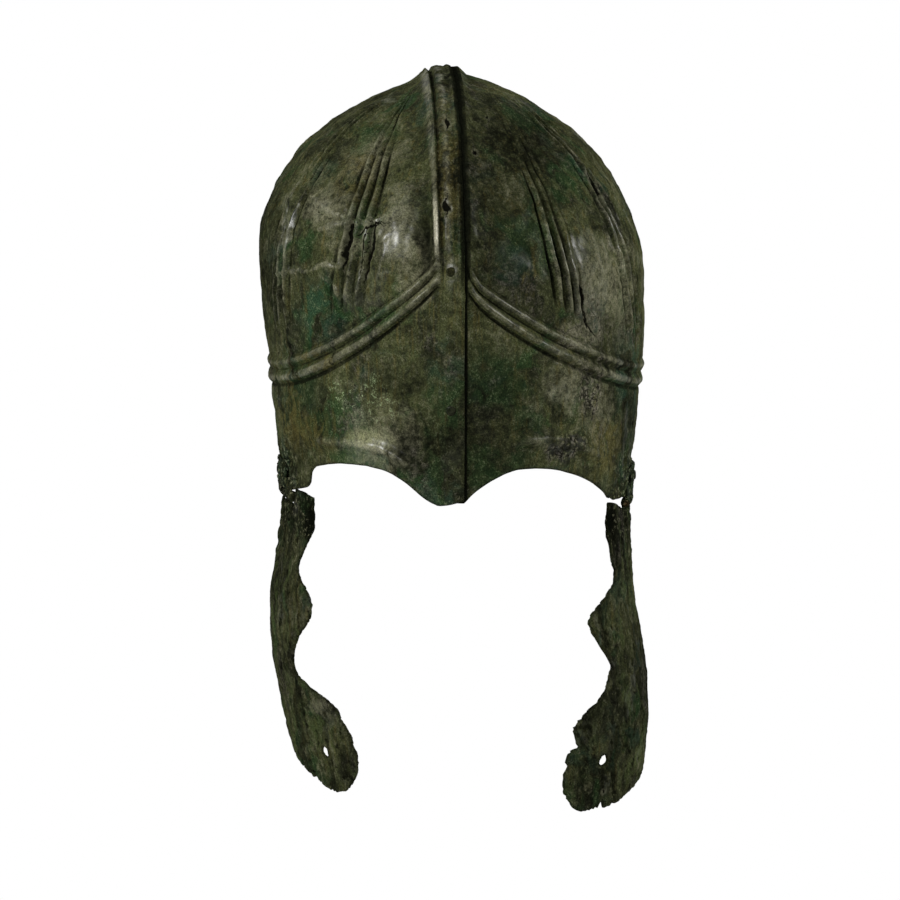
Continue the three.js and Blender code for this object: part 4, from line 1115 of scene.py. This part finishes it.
def worn_walls(half, grid):
    """Crown and wall points outside and inside, in mm, and the values that the patina reads."""
    base, normal, across = grid["base"], grid["normal"], grid["across"]
    rows, columns = base.shape[:2]
    right, outside = half["side"] < 0, np.isnan(across)
    off_keel = smooth(0, 5, np.abs(base[..., 0]) - half["keel_width"])
    pushed, folds = (values * np.where(outside, off_keel, 0) for values in pressed(base))
    on_dome = np.arange(rows)[:, None] < DOME_ROWS * 0.97
    on_flutes = smooth(0.15, 0.6, np.abs(grid["relief"])) * on_dome
    low_side = np.exp(-(((base[..., 2] + 196) / 15) ** 2 + ((base[..., 1] + 26) / 30) ** 2))
    bend = uneven(base, 30, 0.85, 3) + uneven(base, 9, 0.3, 2) + pushed
    bend = bend + np.abs(uneven(base, 4.5, 1.3, 3)) * low_side + uneven(base, 5, 0.16, 3)
    hammer = uneven(base, 3.0, 0.07, 2) + uneven(base, 2.2, 0.2, 2) * on_flutes
    signed, width = crack_distance(base, cracks[half["side"]])
    cut = np.clip(1 - (np.abs(signed) - np.maximum(width, 0)) / 0.8, 0, 1) * (width > 0.05)
    fade = np.clip(1 - grid["edge"] / 1.2, 0, 1)
    height = grid["lift"] + grid["relief"] * FLUTE_HEIGHT + bend
    outer = base + normal * (height + hammer - cut * 0.8 - fade * 0.3)[..., None]
    inner = base + normal * (height - SHEET + fade * 0.3)[..., None]

    beside_keel = np.exp(-((np.arange(columns) - grid["band"]) / 10.0) ** 4)[None]
    calm = smooth(-98, -106, base[..., 2]) * beside_keel
    for _ in range(CALM_PASSES):
        between = (outer[:, :-2] + 2 * outer[:, 1:-1] + outer[:, 2:]) / 4
        outer[:, 1:-1] = mix(outer[:, 1:-1], between, calm[:, 1:-1, None])
    lap = np.where(outside, 0, 1 - smooth(0.0, 1.6, np.abs(across))) * right
    outer[..., 0] += uneven(base, 7, 0.75, 3) * lap

    crown_base, crown_normal = grid["crown_base"], grid["crown_normal"]
    crown_height = grid["crown_lift"] + (
        uneven(crown_base, 30, 0.85, 3) + uneven(crown_base, 9, 0.3, 2))
    crown_outer = crown_base + crown_normal * crown_height[:, None]
    crown_inner = crown_base + crown_normal * (crown_height - SHEET)[:, None]

    # Tone of the relief: worn crests and dark grooves, and a painted highlight along the folds
    tone = grid["relief"] * np.where(grid["edge"] < NO_EDGE, 0.4, 1) * 0.8
    tone = tone + np.clip(hammer * 1.5, -0.2, 0.2) + pushed * 0.2 + folds * 1.7
    # Painted light of the keel: black shadow at the seam and highlights on the beads, weaker low
    # and behind
    crest = keel_light_and_shade(half, across / half["keel_width"]) + bead_highlight(half, grid)
    in_front = 1 - smooth(-84, -100, base[..., 2]) * 0.85
    crest = crest * np.where(base[..., 1] < 0, in_front, 0.45)
    # On the left half a strip along the seam is painted black: the shadow in the gap under the lap
    if not right:
        crest = np.where(np.abs(across) < SEAM_HALF, -1.2, crest)
    values = {
        "raised": (0.2, tone + crest, 0.0), "crack": (NO_CRACK, signed, NO_CRACK),
        "crack_half": (-1.0, width, -1.0), "edge": (NO_EDGE, grid["edge"], NO_EDGE),
    }
    return (crown_outer, outer, crown_inner, inner), values


crown_bend = uneven(grid["crown_base"], 30, 0.85)[0]
print("bend of the sheet at the crown, in mm:", np.round(crown_bend, 2))

# %% [markdown]
# The outer and the inner wall are joined along the whole edge. The inner wall takes every third
# row and column, which the eye can't tell on the inside and which keeps the piece light. The
# strip between them has a face for each of the inner wall's steps, with all the outer wall's
# points of that step in it.


# %% Faces of a closed sheet
def every_third(count):
    return list(range(0, count - 1, 3)) + [count - 1]


def wall(ids, flip):
    """Faces of a grid of points, with a triangle where two points of the upper row are one."""
    faces = []
    for upper, lower in zip(ids, ids[1:]):
        for i in range(len(upper) - 1):
            face = [upper[i], lower[i], lower[i + 1], upper[i + 1]]
            if face[0] == face[3]:
                face = face[:3]
            faces.append(face[::-1] if flip else face)
    return faces


def rim_loop(ids, rows, columns):
    """The points round a wall: along its foot, up its last column and down its first."""
    foot = [ids[rows[-1], c] for c in columns]
    up = [ids[r, columns[-1]] for r in reversed(rows[:-1])]
    return foot + up + [ids[r, columns[0]] for r in rows[1:-1]]


def sheet_faces(rows, columns, band, flip):
    """Faces of both walls and of the strip between them, and which inner points they use."""
    pole = np.array([min(i, columns - 1 - i, band) for i in range(columns)])
    crown_count = band + 1
    outer_ids = np.vstack([pole, crown_count + np.arange(rows * columns).reshape(rows, columns)])
    some_rows, some_columns = every_third(rows + 1), every_third(columns)
    start = crown_count + rows * columns
    inner_ids = np.full(outer_ids.shape, -1)
    inner_ids[0] = start + pole
    used = np.ix_(some_rows[1:], some_columns)
    shape = inner_ids[used].shape
    inner_ids[used] = start + crown_count + np.arange(shape[0] * shape[1]).reshape(shape)
    faces = wall(outer_ids.tolist(), flip)
    faces += wall(inner_ids[np.ix_(some_rows, some_columns)].tolist(), not flip)

    outer_loop = rim_loop(outer_ids, range(rows + 1), range(columns))
    inner_loop = rim_loop(inner_ids, some_rows, some_columns)
    where = {point: i for i, point in enumerate(outer_loop)}
    beside = [where[point] for point in rim_loop(outer_ids, some_rows, some_columns)]
    for i, first in enumerate(beside):
        after = (i + 1) % len(beside)
        steps = (beside[after] - first) % len(outer_loop)
        chain = [outer_loop[(first + k) % len(outer_loop)] for k in range(steps + 1)]
        face = chain + [inner_loop[after], inner_loop[i]]
        faces.append(face if flip else face[::-1])
    return faces, np.ix_([r - 1 for r in some_rows[1:]], some_columns)


def store(mesh, values):
    """Puts named values on a mesh's points, where an Attribute node can read them."""
    for label, numbers in values.items():
        data = mesh.attributes.new(label, "FLOAT", "POINT").data
        data.foreach_set("value", np.asarray(numbers, np.float32))


def smooth_piece(name, points, faces, values):
    """An object from points in metres, smooth shaded, with values for its patina."""
    mesh = bpy.data.meshes.new(name)
    mesh.from_pydata(points.tolist(), [], faces)
    mesh.validate()
    store(mesh, values)
    mesh.shade_smooth()
    piece = bpy.data.objects.new(name, mesh)
    scene.collection.objects.link(piece)
    print(name, "has", sum(len(p.vertices) - 2 for p in mesh.polygons), "triangles")
    return piece


# %% Both halves
def closed_sheet(name, half, grid):
    """One half of the skull: two walls, a joined edge, and the values for its patina."""
    (crown_outer, outer, crown_inner, inner), values = worn_walls(half, grid)
    rows, columns = outer.shape[:2]
    faces, used = sheet_faces(rows, columns, grid["band"], half["side"] < 0)
    walls = [crown_outer, outer, crown_inner, inner[used]]
    points = np.concatenate([part.reshape(-1, 3) for part in walls])
    first, last = len(crown_outer), len(crown_outer) + rows * columns
    spread = {}
    for label, (crown_value, outer_value, inner_value) in values.items():
        spread[label] = np.full(len(points), inner_value)
        spread[label][:first] = crown_value
        spread[label][first:last] = outer_value.ravel()
    return smooth_piece(name, inside_box(points / 1000), faces, spread)


skull_right = closed_sheet("skull_right", right_half, grid)
skull_left = closed_sheet("skull_left", left_half, skull_grid(left_half))
for piece, seed, node in (
        (skull_right, 1.0, "skull_half_right"), (skull_left, 2.0, "skull_half_left")):
    piece.data.materials.append(patina(f"patina_{piece.name}", seed))
    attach(piece, "skull")
    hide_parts(node)

# %% [markdown]
# ## Cheekpieces
#
# A cheekpiece is cut from sheet to a scalloped outline and curled a little round the cheek.
# Its side view is a patch between four edges, the same as in the CAD model, drawn through the
# same points as smooth curves. Burial has eaten the front edge and the foot, and a tie hole
# near the foot has worn to the shape of a drop. The top edge rises under the rim in a lobe
# toward the front, and only so far back that it stays clear of the skull when it swings.

# %% Sizes of the cheekpieces
CHEEK_TOP_RISE, CHEEK_BELOW_AXIS, CHEEK_REAR = 7.2, 3.4, 1
TIE_HOLE = 2.2
FOOT_NOTCH, PINHOLE = 66.5, (66.5, 139)
right_cheek = {
    "half": right_half, "lobe": 1.2, "lobe_span": (0.58, 0.66), "curl_top": 170, "curl_foot": 125,
    "inset": 0.6, "bow": 6.3, "depth": 142.6, "width": 80.3, "hole": (0.785, 0.862),
    "bow_shares": [(0, 0), (0.07, 0.06), (0.17, 0.36), (0.26, 0.76), (0.34, 1), (0.45, 1.08),
                   (0.55, 0.95), (0.65, 0.66), (0.75, 0.25), (0.87, -0.3), (1, -0.75)],
    "front": [(-0.021, 0.81), (0.028, 0.81), (0.11, 0.79), (0.166, 0.722), (0.207, 0.685),
              (0.241, 0.697), (0.29, 0.82), (0.338, 0.9), (0.393, 0.878), (0.434, 0.79),
              (0.469, 0.722), (0.517, 0.655), (0.559, 0.615), (0.593, 0.62), (0.621, 0.705),
              (0.648, 0.835), (0.669, 0.925), (0.697, 0.985), (0.752, 1.01), (0.793, 1.04),
              (0.869, 1.045), (0.917, 1.025), (0.965, 0.965)],
    "back": [(0.023, 0), (0.4, 0), (0.655, 0.012), (0.793, 0.062), (0.84, 0.11)],
    "foot": [(0.11, 0.84), (0.193, 0.89), (0.336, 0.924), (0.436, 0.948), (0.598, 0.969),
             (0.7, 0.985), (0.82, 1), (0.9, 0.99), (0.959, 0.965)],
}
left_cheek = {
    "half": left_half, "lobe": 1.0, "lobe_span": (0.45, 1), "curl_top": 135, "curl_foot": 100,
    "inset": 0.9, "bow": 10.5, "depth": 148, "width": 85, "hole": (0.81, 0.833),
    "bow_shares": [(0, 0), (0.12, 0.15), (0.3, 0.31), (0.45, 0.64), (0.55, 0.83), (0.65, 1),
                   (0.75, 1.06), (0.87, 0.92), (1, 0.66)],
    "front": [(-0.02, 0.71), (0.02, 0.71), (0.067, 0.729), (0.157, 0.688), (0.2, 0.665),
              (0.234, 0.67), (0.26, 0.705), (0.287, 0.758), (0.307, 0.818), (0.327, 0.878),
              (0.351, 0.92), (0.377, 0.925), (0.414, 0.888), (0.454, 0.83), (0.508, 0.768),
              (0.548, 0.776), (0.608, 0.85), (0.655, 0.935), (0.705, 0.99), (0.77, 0.966),
              (0.8, 1), (0.915, 0.994), (0.97, 0.955)],
    "back": [(0.023, 0), (0.4, 0), (0.7, 0.006), (0.82, 0.05), (0.9, 0.14)],
    "foot": [(0.14, 0.9), (0.24, 0.93), (0.341, 0.953), (0.47, 0.967), (0.594, 0.982),
             (0.7, 0.995), (0.8, 1), (0.9, 0.995), (0.955, 0.97)],
}


# %% [markdown]
# The patch is spaced at about 0.7 mm along and 1.1 mm across. Both walls have the same cells, so
# every open edge of the outer wall, round the outline and round the tie hole, is joined to the
# same edge of the inner wall.


# %% Cheekpiece meshes
def through(points, share):
    """A smooth curve through a list of points, evenly shared out between them."""
    points = np.array(points, float)
    place = share * (len(points) - 1)
    i = np.clip(np.floor(place).astype(int), 0, len(points) - 2)
    t = (place - i)[:, None]
    before, start, end, after = (points[np.clip(i + k, 0, len(points) - 1)] for k in (-1, 0, 1, 2))
    return 0.5 * (2 * start + (end - before) * t + (2 * before - 5 * start + 4 * end - after) * t**2
                  + (3 * start - before - 3 * end + after) * t**3)


def cheek_point(cheek, plan):
    """Points of the plain cheekpiece in mm, from the side view's forward distance and depth."""
    forward, depth = plan[..., 0], plan[..., 1]
    half, share = cheek["half"], depth / cheek["depth"]
    radius = mix(cheek["curl_top"], cheek["curl_foot"], np.clip(share / 0.76, 0, 1))
    curl = radius - np.sqrt(radius**2 - np.maximum(forward, 0) ** 2)
    bow = cheek["bow"] * eased(cheek["bow_shares"], np.maximum(share, 0))
    out = half["rim_reach"] - cheek["inset"] - curl + bow
    height = SHEET - half["hinge_depth"] - depth
    return np.stack([half["side"] * out, CHEEK_REAR - forward, height], -1)


def cheek_patch(cheek, rows, columns):
    """The side view's grid between its four edges, and each point's share across and down."""
    size = np.array([cheek["width"], cheek["depth"]])
    u, v = np.linspace(0, 1, columns + 1), np.linspace(0, 1, rows + 1)
    lobe = cheek["lobe"]
    rise = CHEEK_TOP_RISE * (
        lobe * smooth(*cheek["lobe_span"], u) - (lobe - 1) * smooth(0.8, 1, u))
    top = np.stack([u * cheek["front"][0][1] * cheek["width"], CHEEK_BELOW_AXIS - rise], -1)
    foot = through(cheek["foot"], u) * size
    back = through(cheek["back"], v)[:, ::-1] * size
    front = through(cheek["front"], v)[:, ::-1] * size
    u, v = u[None, :, None], v[:, None, None]
    ruled = mix(top[None], foot[None], v) + mix(back[:, None], front[:, None], u)
    corners = mix(mix(top[0], top[-1], u), mix(foot[0], foot[-1], u), v)
    return ruled - corners, u[..., 0] + 0 * v[..., 0], v[..., 0] + 0 * u[..., 0]


def from_hole(offset, seed):
    """Distance and direction from the tie hole's middle, and the hole's reach that way."""
    turned = np.arctan2(offset[..., 1], offset[..., 0])
    drop = 0.65 * np.maximum(-np.sin(turned), 0) ** 3
    reach = TIE_HOLE + drop + 0.15 * np.sin(3 * turned + seed)
    return np.hypot(offset[..., 0], offset[..., 1]), turned, reach


def corners_of(marked):
    """Marks every grid point that is a corner of a marked cell."""
    corners = np.zeros((marked.shape[0] + 1, marked.shape[1] + 1), bool)
    for rows in (slice(0, -1), slice(1, None)):
        for columns in (slice(0, -1), slice(1, None)):
            corners[rows, columns] |= marked
    return corners


def worn_plan(cheek, seed):
    """The side view with eaten edges and tie hole: points, distance to an edge, cells kept."""
    plan, u, v = cheek_patch(cheek, 210, 70)
    width = plan[:, -1:, 0] - plan[:, :1, 0]
    length = plan[-1:, :, 1] - plan[:1, :, 1]
    to_front, to_foot = (1 - u) * width, (1 - v) * length
    edge = np.minimum(np.minimum(u, 1 - u) * width, np.minimum(v, 1 - v) * length)
    still = cheek_point(cheek, plan)
    eaten = np.maximum(uneven(still + seed, 2.2, 1.9), 0)
    eaten = eaten + np.maximum(uneven(still - seed, 7, 1.2, 2), 0)
    plan[..., 0] -= eaten * smooth(4.5, 0, to_front) * (0.25 + 0.75 * smooth(0.1, 0.2, v))
    plan[..., 1] -= eaten * smooth(4.5, 0, to_foot)
    if cheek["half"]["side"] > 0:
        plan[..., 1] -= 4.2 * bell(plan[..., 0] - FOOT_NOTCH, 1.1) * smooth(9, 0, to_foot)
    centre = np.array(cheek["hole"]) * [cheek["width"], cheek["depth"]]
    away_from, turned, reach = from_hole(plan - centre, seed)
    middles = (plan[:-1, :-1] + plan[1:, :-1] + plan[:-1, 1:] + plan[1:, 1:]) / 4
    middle_away, _, middle_reach = from_hole(middles - centre, seed)
    kept = middle_away > middle_reach
    snapped = (away_from < reach) | corners_of(~kept)
    ring = centre + np.stack([np.cos(turned), np.sin(turned)], -1) * reach[..., None]
    edge = np.minimum(edge, np.maximum(away_from - reach, 0))
    return np.where(snapped[..., None], ring, plan), edge, kept


def cheek_mesh(name, cheek, seed):
    """A cheekpiece as one closed sheet: bent, brushed along its length, and pitted."""
    plan, edge, kept = worn_plan(cheek, seed)
    side = cheek["half"]["side"]
    point = cheek_point(cheek, plan)
    ahead, down = np.array([0.2, 0]), np.array([0, 0.2])
    normal = np.cross(
        cheek_point(cheek, plan + ahead) - cheek_point(cheek, plan - ahead),
        cheek_point(cheek, plan + down) - cheek_point(cheek, plan - down))
    normal /= np.linalg.norm(normal, axis=-1, keepdims=True)
    normal *= np.sign(normal[..., :1] * side)
    near_top = smooth(48, 20, plan[..., 1])
    bend = uneven(point, 26, 0.7) - 0.45 + uneven(point, 4.5, 0.5) * near_top
    brushed = uneven(point * np.array([1, 1, 0.22]) + seed, 5.2, 0.2)
    pitted = np.minimum(uneven(point, 3.4, 0.5, 2), 0) + uneven(point, 2.0, 0.14, 2)
    fade = np.clip(1 - edge / 1.3, 0, 1)
    # A dent in the top front corner, which the patina also darkens as painted shade
    from_corner = (plan[..., 0] - plan[0, -1, 0] + 3) / 5.0
    hollow = np.exp(-(from_corner**2 + ((plan[..., 1] - 7) / 6.5) ** 2))
    outer = point + normal * (bend + brushed + pitted - fade * 0.35 - hollow * 1.6)[..., None]
    inner = point + normal * (bend + pitted * 0.3 - SHEET + fade * 0.35 - hollow * 1.2)[..., None]

    used = corners_of(kept)
    count = int(used.sum())
    ids = np.full(used.shape, -1)
    ids[used] = np.arange(count)
    quads = np.stack([ids[:-1, :-1], ids[1:, :-1], ids[1:, 1:], ids[:-1, 1:]], -1)[kept]
    outer_faces, inner_faces = (quads[:, ::-1], quads) if side > 0 else (quads, quads[:, ::-1])
    starts, ends = outer_faces.ravel(), np.roll(outer_faces, -1, axis=1).ravel()
    known = set(zip(starts.tolist(), ends.tolist()))
    rims = [(b, a, a + count, b + count) for a, b in known if (b, a) not in known]
    faces = outer_faces.tolist() + (inner_faces + count).tolist() + rims
    from_pinhole = np.hypot(plan[..., 0] - PINHOLE[0], plan[..., 1] - PINHOLE[1])
    # The dent counts as a deep hollow, so the patina paints it in shade
    values = {
        "raised": (brushed * 1.5 + pitted - hollow * 1.4, 0.0), "edge": (edge, NO_EDGE),
        "crack": (from_pinhole, NO_CRACK),
        "crack_half": (np.full(edge.shape, 0.9 if side > 0 else -1.0), -1.0),
    }
    spread = {label: np.append(own[used], np.full(count, inside))
              for label, (own, inside) in values.items()}
    points = np.concatenate([outer[used], inner[used]]) / 1000
    return smooth_piece(name, points, faces, spread)


for word, cheek, seed in (("right", right_cheek, 11.0), ("left", left_cheek, 37.0)):
    piece = cheek_mesh(f"cheek_{word}_bronze", cheek, seed)
    piece.data.materials.append(patina(f"patina_cheek_{word}", 4.0 + seed, lift=0.72, streaky=True))
    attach(piece, f"cheek_{word}")
    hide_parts(f"cheekpiece_{word}")

# %% [markdown]
# ## Hinges
#
# Each hinge is a leaf on the skull and a leaf inside the cheekpiece, with three barrel segments
# between them on one iron pin. Crust has grown over all of it. The CAD pieces are merged,
# remeshed finely in one skin and pushed in and out by noise, so that the lumps are real. They
# are lower beside the barrels, which have to turn past each other.


# %% Weathered hinge pieces
def merged_copy(node):
    """A welded copy of a CAD piece's mesh, in place."""
    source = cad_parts[node]
    mesh = source.data.copy()
    mesh.transform(source.matrix_world)
    welded = bmesh.new()
    welded.from_mesh(mesh)
    bmesh.ops.remove_doubles(welded, verts=welded.verts, dist=1e-6)
    welded.to_mesh(mesh)
    welded.free()
    mesh.materials.clear()
    return mesh


def apply_modifiers(piece):
    """Gives a piece the plain mesh that its modifiers make of it, and removes them."""
    evaluated = piece.evaluated_get(bpy.context.evaluated_depsgraph_get())
    mesh = bpy.data.meshes.new_from_object(evaluated)
    piece.modifiers.clear()
    piece.data = mesh
    return mesh


def weathered(node, body, voxel, lump, material, drawn=0.0, sunk=0.0):
    """A lumpy copy of a CAD piece. Drawn pulls its foot toward the middle, sunk its whole face."""
    piece = bpy.data.objects.new(f"{node}_weathered", merged_copy(node))
    scene.collection.objects.link(piece)
    remesh = piece.modifiers.new("skin", "REMESH")
    remesh.mode, remesh.voxel_size = "VOXEL", voxel / 1000
    rounding = piece.modifiers.new("rounding", "SMOOTH")
    rounding.factor, rounding.iterations = 0.5, 9
    mesh = apply_modifiers(piece)
    points, normals = np.empty(len(mesh.vertices) * 3), np.empty(len(mesh.vertices) * 3)
    mesh.vertices.foreach_get("co", points)
    mesh.vertices.foreach_get("normal", normals)
    points, normals = points.reshape(-1, 3) * 1000, normals.reshape(-1, 3)
    lumps = uneven(points, 4.2, lump) + uneven(points, 1.3, lump * 0.45, 2)
    lumps *= mix(0.3, 1, smooth(-203.5, -200, points[:, 2]))
    points += normals * (lumps + 0.05)[:, None]
    toward = -np.sign(points[:, 0].mean())
    from_front = points[:, 1] - points[:, 1].min()
    merging = smooth(9, 1, from_front) * smooth(-203, -197, points[:, 2])
    at_foot = smooth(-192, -205, points[:, 2])
    points[:, 0] += toward * (sunk * (0.1 + 2.7 * merging) + drawn * at_foot)
    mesh.vertices.foreach_set("co", inside_box(points / 1000).ravel())
    rubbed = 0.9 if lump > 0.3 else 0.0
    flat = np.zeros(len(points))
    store(mesh, {"raised": np.clip(lumps / lump, -1, 1).astype(np.float32) * rubbed,
                 "edge": flat + NO_EDGE, "crack": flat + NO_CRACK, "crack_half": flat - 1})
    mesh.materials.append(material)
    mesh.shade_smooth()
    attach(piece, body)
    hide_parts(node)
    print(node, "has", len(mesh.polygons) * 2, "triangles")
    return piece


crusted = patina("patina_hinges", 8.0, crust=0.5)
rusty = patina("patina_pins", 9.0, crust=0.4, rust=True)
leaves = {}
for word in ("right", "left"):
    leaves[word] = weathered(
        f"hinge_skull_leaf_{word}", "skull", 0.38, 0.85, crusted,
        drawn=0.3, sunk=0.55)
    weathered(
        f"hinge_cheek_leaf_{word}", f"cheek_{word}", 0.38, 0.4, crusted)
    weathered(f"hinge_pin_{word}", "skull", 0.25, 0.2, rusty)

# %% [markdown]
# ## Rivets
#
# The rivets of the seam and of the hinges are small bronze pins with a hammered head. One tree
# of nodes makes them all: it takes points with a direction, sets a worn head and its shank on
# each, and turns and sizes every one a little differently. The places come from the CAD rivets
# and are moved along their own axes until they touch the fine surface.


# %% Places of the rivets
def rivet_frame(node):
    """Foot of a CAD rivet's head, and the direction in which the head points."""
    mesh = merged_copy(node)
    points = np.array([v.co for v in mesh.vertices])
    centre = points.mean(axis=0)
    values, vectors = np.linalg.eigh(np.cov((points - centre).T))
    apart = np.abs(values[:, None] - values[None]).sum(axis=1)
    axis = vectors[:, int(np.argmax(apart))]
    along = (points - centre) @ axis
    out = np.linalg.norm(points - centre - along[:, None] * axis, axis=1)
    head = out > 0.8 * out.max()
    if along[head].mean() < 0:
        axis, along = -axis, -along
    return centre + axis * along[head].min(), axis


def on_surface(piece, place, axis):
    """The place moved along its axis onto a piece."""
    tree = BVHTree.FromObject(piece, bpy.context.evaluated_depsgraph_get())
    start = Vector(place) + Vector(axis) * 0.008
    hit = tree.ray_cast(start, -Vector(axis), 0.02)[0]
    return np.array(hit) if hit is not None else place


print("first seam rivet:", [np.round(v, 3).tolist() for v in rivet_frame("seam_rivet_1")])


# %% Rivet tree
RIVET_SIZES = {
    "Head Radius": 0.0023, "Head Height": 0.0008, "Shank Radius": 0.0011, "Shank Length": 0.003,
}
RIVET_SEED = 5


def rivet_tree(material):
    """Geometry nodes that set a rivet on every point, along its own direction."""
    tree = bpy.data.node_groups.new("rivets", "GeometryNodeTree")
    tree.is_modifier = True
    tree.interface.new_socket("Geometry", in_out="INPUT", socket_type="NodeSocketGeometry")
    for label, value in RIVET_SIZES.items():
        socket = tree.interface.new_socket(label, in_out="INPUT", socket_type="NodeSocketFloat")
        socket.default_value = value
    seed = tree.interface.new_socket("Seed", in_out="INPUT", socket_type="NodeSocketInt")
    seed.default_value = RIVET_SEED
    tree.interface.new_socket("Geometry", in_out="OUTPUT", socket_type="NodeSocketGeometry")
    entry = tree.nodes.new("NodeGroupInput")
    given = {socket.name: Wire(tree, socket) for socket in entry.outputs if socket.name}

    radius, rise = given["Head Radius"], given["Head Height"]
    round_ball = {"Segments": 28, "Rings": 16, "Radius": 1.0}
    ball = make(tree, "GeometryNodeMeshUVSphere", None, round_ball, "Mesh")
    size = make(tree, "ShaderNodeCombineXYZ", None, {"X": radius, "Y": radius, "Z": rise})
    dome = make(tree, "GeometryNodeTransform", None, {"Geometry": ball, "Scale": size})
    spot = make(tree, "GeometryNodeInputPosition")
    parts = tree.nodes.new("ShaderNodeSeparateXYZ")
    tree.links.new(spot.socket, parts.inputs[0])
    x, y, z = (Wire(tree, socket) for socket in parts.outputs)
    reach = (x * x + y * y) ** 0.5 / radius
    dimple = rise * 0.35 * (1 - (reach * 2.2).held())
    height = z.math("MAXIMUM", z, rise * -0.15) - dimple
    moved = make(tree, "ShaderNodeCombineXYZ", None, {"X": x, "Y": y, "Z": height})
    head = make(tree, "GeometryNodeSetPosition", None, {"Geometry": dome, "Position": moved})
    rod = {"Vertices": 20, "Radius": given["Shank Radius"], "Depth": given["Shank Length"]}
    shank = make(tree, "GeometryNodeMeshCylinder", None, rod, "Mesh")
    drop = make(tree, "ShaderNodeCombineXYZ", None, {"Z": given["Shank Length"] * -0.5})
    shank = make(tree, "GeometryNodeTransform", None, {"Geometry": shank, "Translation": drop})
    joined = tree.nodes.new("GeometryNodeJoinGeometry")
    tree.links.new(shank.socket, joined.inputs[0])
    tree.links.new(head.socket, joined.inputs[0])

    vector = {"data_type": "FLOAT_VECTOR"}
    out = make(tree, "GeometryNodeInputNamedAttribute", vector, {"Name": "out"})
    turned = make(tree, "FunctionNodeAlignRotationToVector", {"axis": "Z"}, {"Vector": out})
    from_to = {2: 0.88, 3: 1.08, "Seed": given["Seed"]}
    varied = make(tree, "FunctionNodeRandomValue", {"data_type": "FLOAT"}, from_to, 1)
    placed = make(tree, "GeometryNodeInstanceOnPoints", None, {
        "Points": given["Geometry"], "Instance": Wire(tree, joined.outputs[0]),
        "Rotation": turned, "Scale": varied,
    })
    real = make(tree, "GeometryNodeRealizeInstances", None, {"Geometry": placed})
    smooth_shaded = make(tree, "GeometryNodeSetShadeSmooth", None, {"Geometry": real})
    dressed = {"Geometry": smooth_shaded, "Material": material}
    final = make(tree, "GeometryNodeSetMaterial", None, dressed)
    leave = tree.nodes.new("NodeGroupOutput")
    tree.links.new(final.socket, leave.inputs[0])
    return tree


rivet_patina = patina("patina_rivets", 10.0, crust=0.2)
tree = rivet_tree(rivet_patina)
print("rivet tree has", len(tree.nodes), "nodes")

# %% Rivets on each body
sets = {"skull": [(f"seam_rivet_{i}", skull_right) for i in range(1, 13)]}
for word in ("right", "left"):
    cheekpiece = bpy.data.objects[f"cheek_{word}_bronze"]
    sets["skull"] += [(f"skull_leaf_rivet_{word}_{i}", leaves[word]) for i in (1, 2)]
    sets[f"cheek_{word}"] = [(f"cheek_leaf_rivet_{word}_{i}", cheekpiece) for i in (1, 2)]
for body, wanted in sets.items():
    places, axes = [], []
    for node, carrier in wanted:
        place, axis = rivet_frame(node)
        places.append(tuple(on_surface(carrier, place, axis)))
        axes.append(axis)
    points = bpy.data.meshes.new(f"rivets_{body}_points")
    points.from_pydata(places, [], [])
    points.attributes.new("out", "FLOAT_VECTOR", "POINT").data.foreach_set(
        "vector", np.array(axes, np.float32).ravel())
    rivets = bpy.data.objects.new(f"rivets_{body}", points)
    scene.collection.objects.link(rivets)
    nodes = rivets.modifiers.new("rivets", "NODES")
    nodes.node_group = tree
    sizes = {**RIVET_SIZES, "Seed": RIVET_SEED}
    for item in tree.interface.items_tree:
        if item.in_out == "INPUT" and item.name in sizes:
            nodes[item.identifier] = sizes[item.name]
    plain_mesh = apply_modifiers(rivets)
    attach(rivets, body)
    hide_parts(*[node for node, _ in wanted])
    print(rivets.name, len(wanted), "rivets,", len(plain_mesh.polygons), "faces")

# %% [markdown]
# ## Floor and white surroundings
#
# The floor lies far enough below the helmet that its soft shadow stays out of this view. To the
# camera and in reflections the surroundings are white, and the light they give is weaker.

# %% Floor and world
def shown_rays(tree):
    """1 for rays that show the surroundings themselves, and 0 for those that light the metal."""
    rays = tree.nodes.new("ShaderNodeLightPath")
    camera_ray, glossy_ray, transmission_ray = (
        Wire(tree, rays.outputs[f"Is {kind} Ray"]) for kind in ("Camera", "Glossy", "Transmission"))
    return (camera_ray + glossy_ray + transmission_ray).held()


WORLD_LIGHT = 0.115
world = bpy.data.worlds.new("studio")
world.use_nodes = True
scene.world = world
world_tree = world.node_tree
background = world_tree.nodes["Background"]
level_of_light = WORLD_LIGHT + shown_rays(world_tree) * (1 - WORLD_LIGHT)
world_tree.links.new(level_of_light.socket, background.inputs["Strength"])
background.inputs["Color"].default_value = (1, 1, 1, 1)

bpy.ops.mesh.primitive_plane_add(size=40, location=(0, 0, -0.75))
floor = bpy.context.object
floor.name = "floor"
floor_material = bpy.data.materials.new("white_floor")
floor_material.use_nodes = True
floor_tree = floor_material.node_tree
floor_shader = floor_tree.nodes["Principled BSDF"]
floor_shader.inputs["Base Color"].default_value = (0.9, 0.9, 0.9, 1)
floor_shader.inputs["Roughness"].default_value = 0.9
floor.data.materials.append(floor_material)
white = make(floor_tree, "ShaderNodeEmission", None, {"Color": (1, 1, 1), "Strength": 1.0})
layers = {0: shown_rays(floor_tree), 1: Wire(floor_tree, floor_shader.outputs[0]), 2: white}
mixed = make(floor_tree, "ShaderNodeMixShader", None, layers)
surface = floor_tree.nodes["Material Output"].inputs["Surface"]
floor_tree.links.new(mixed.socket, surface)
print("floor and world ready")
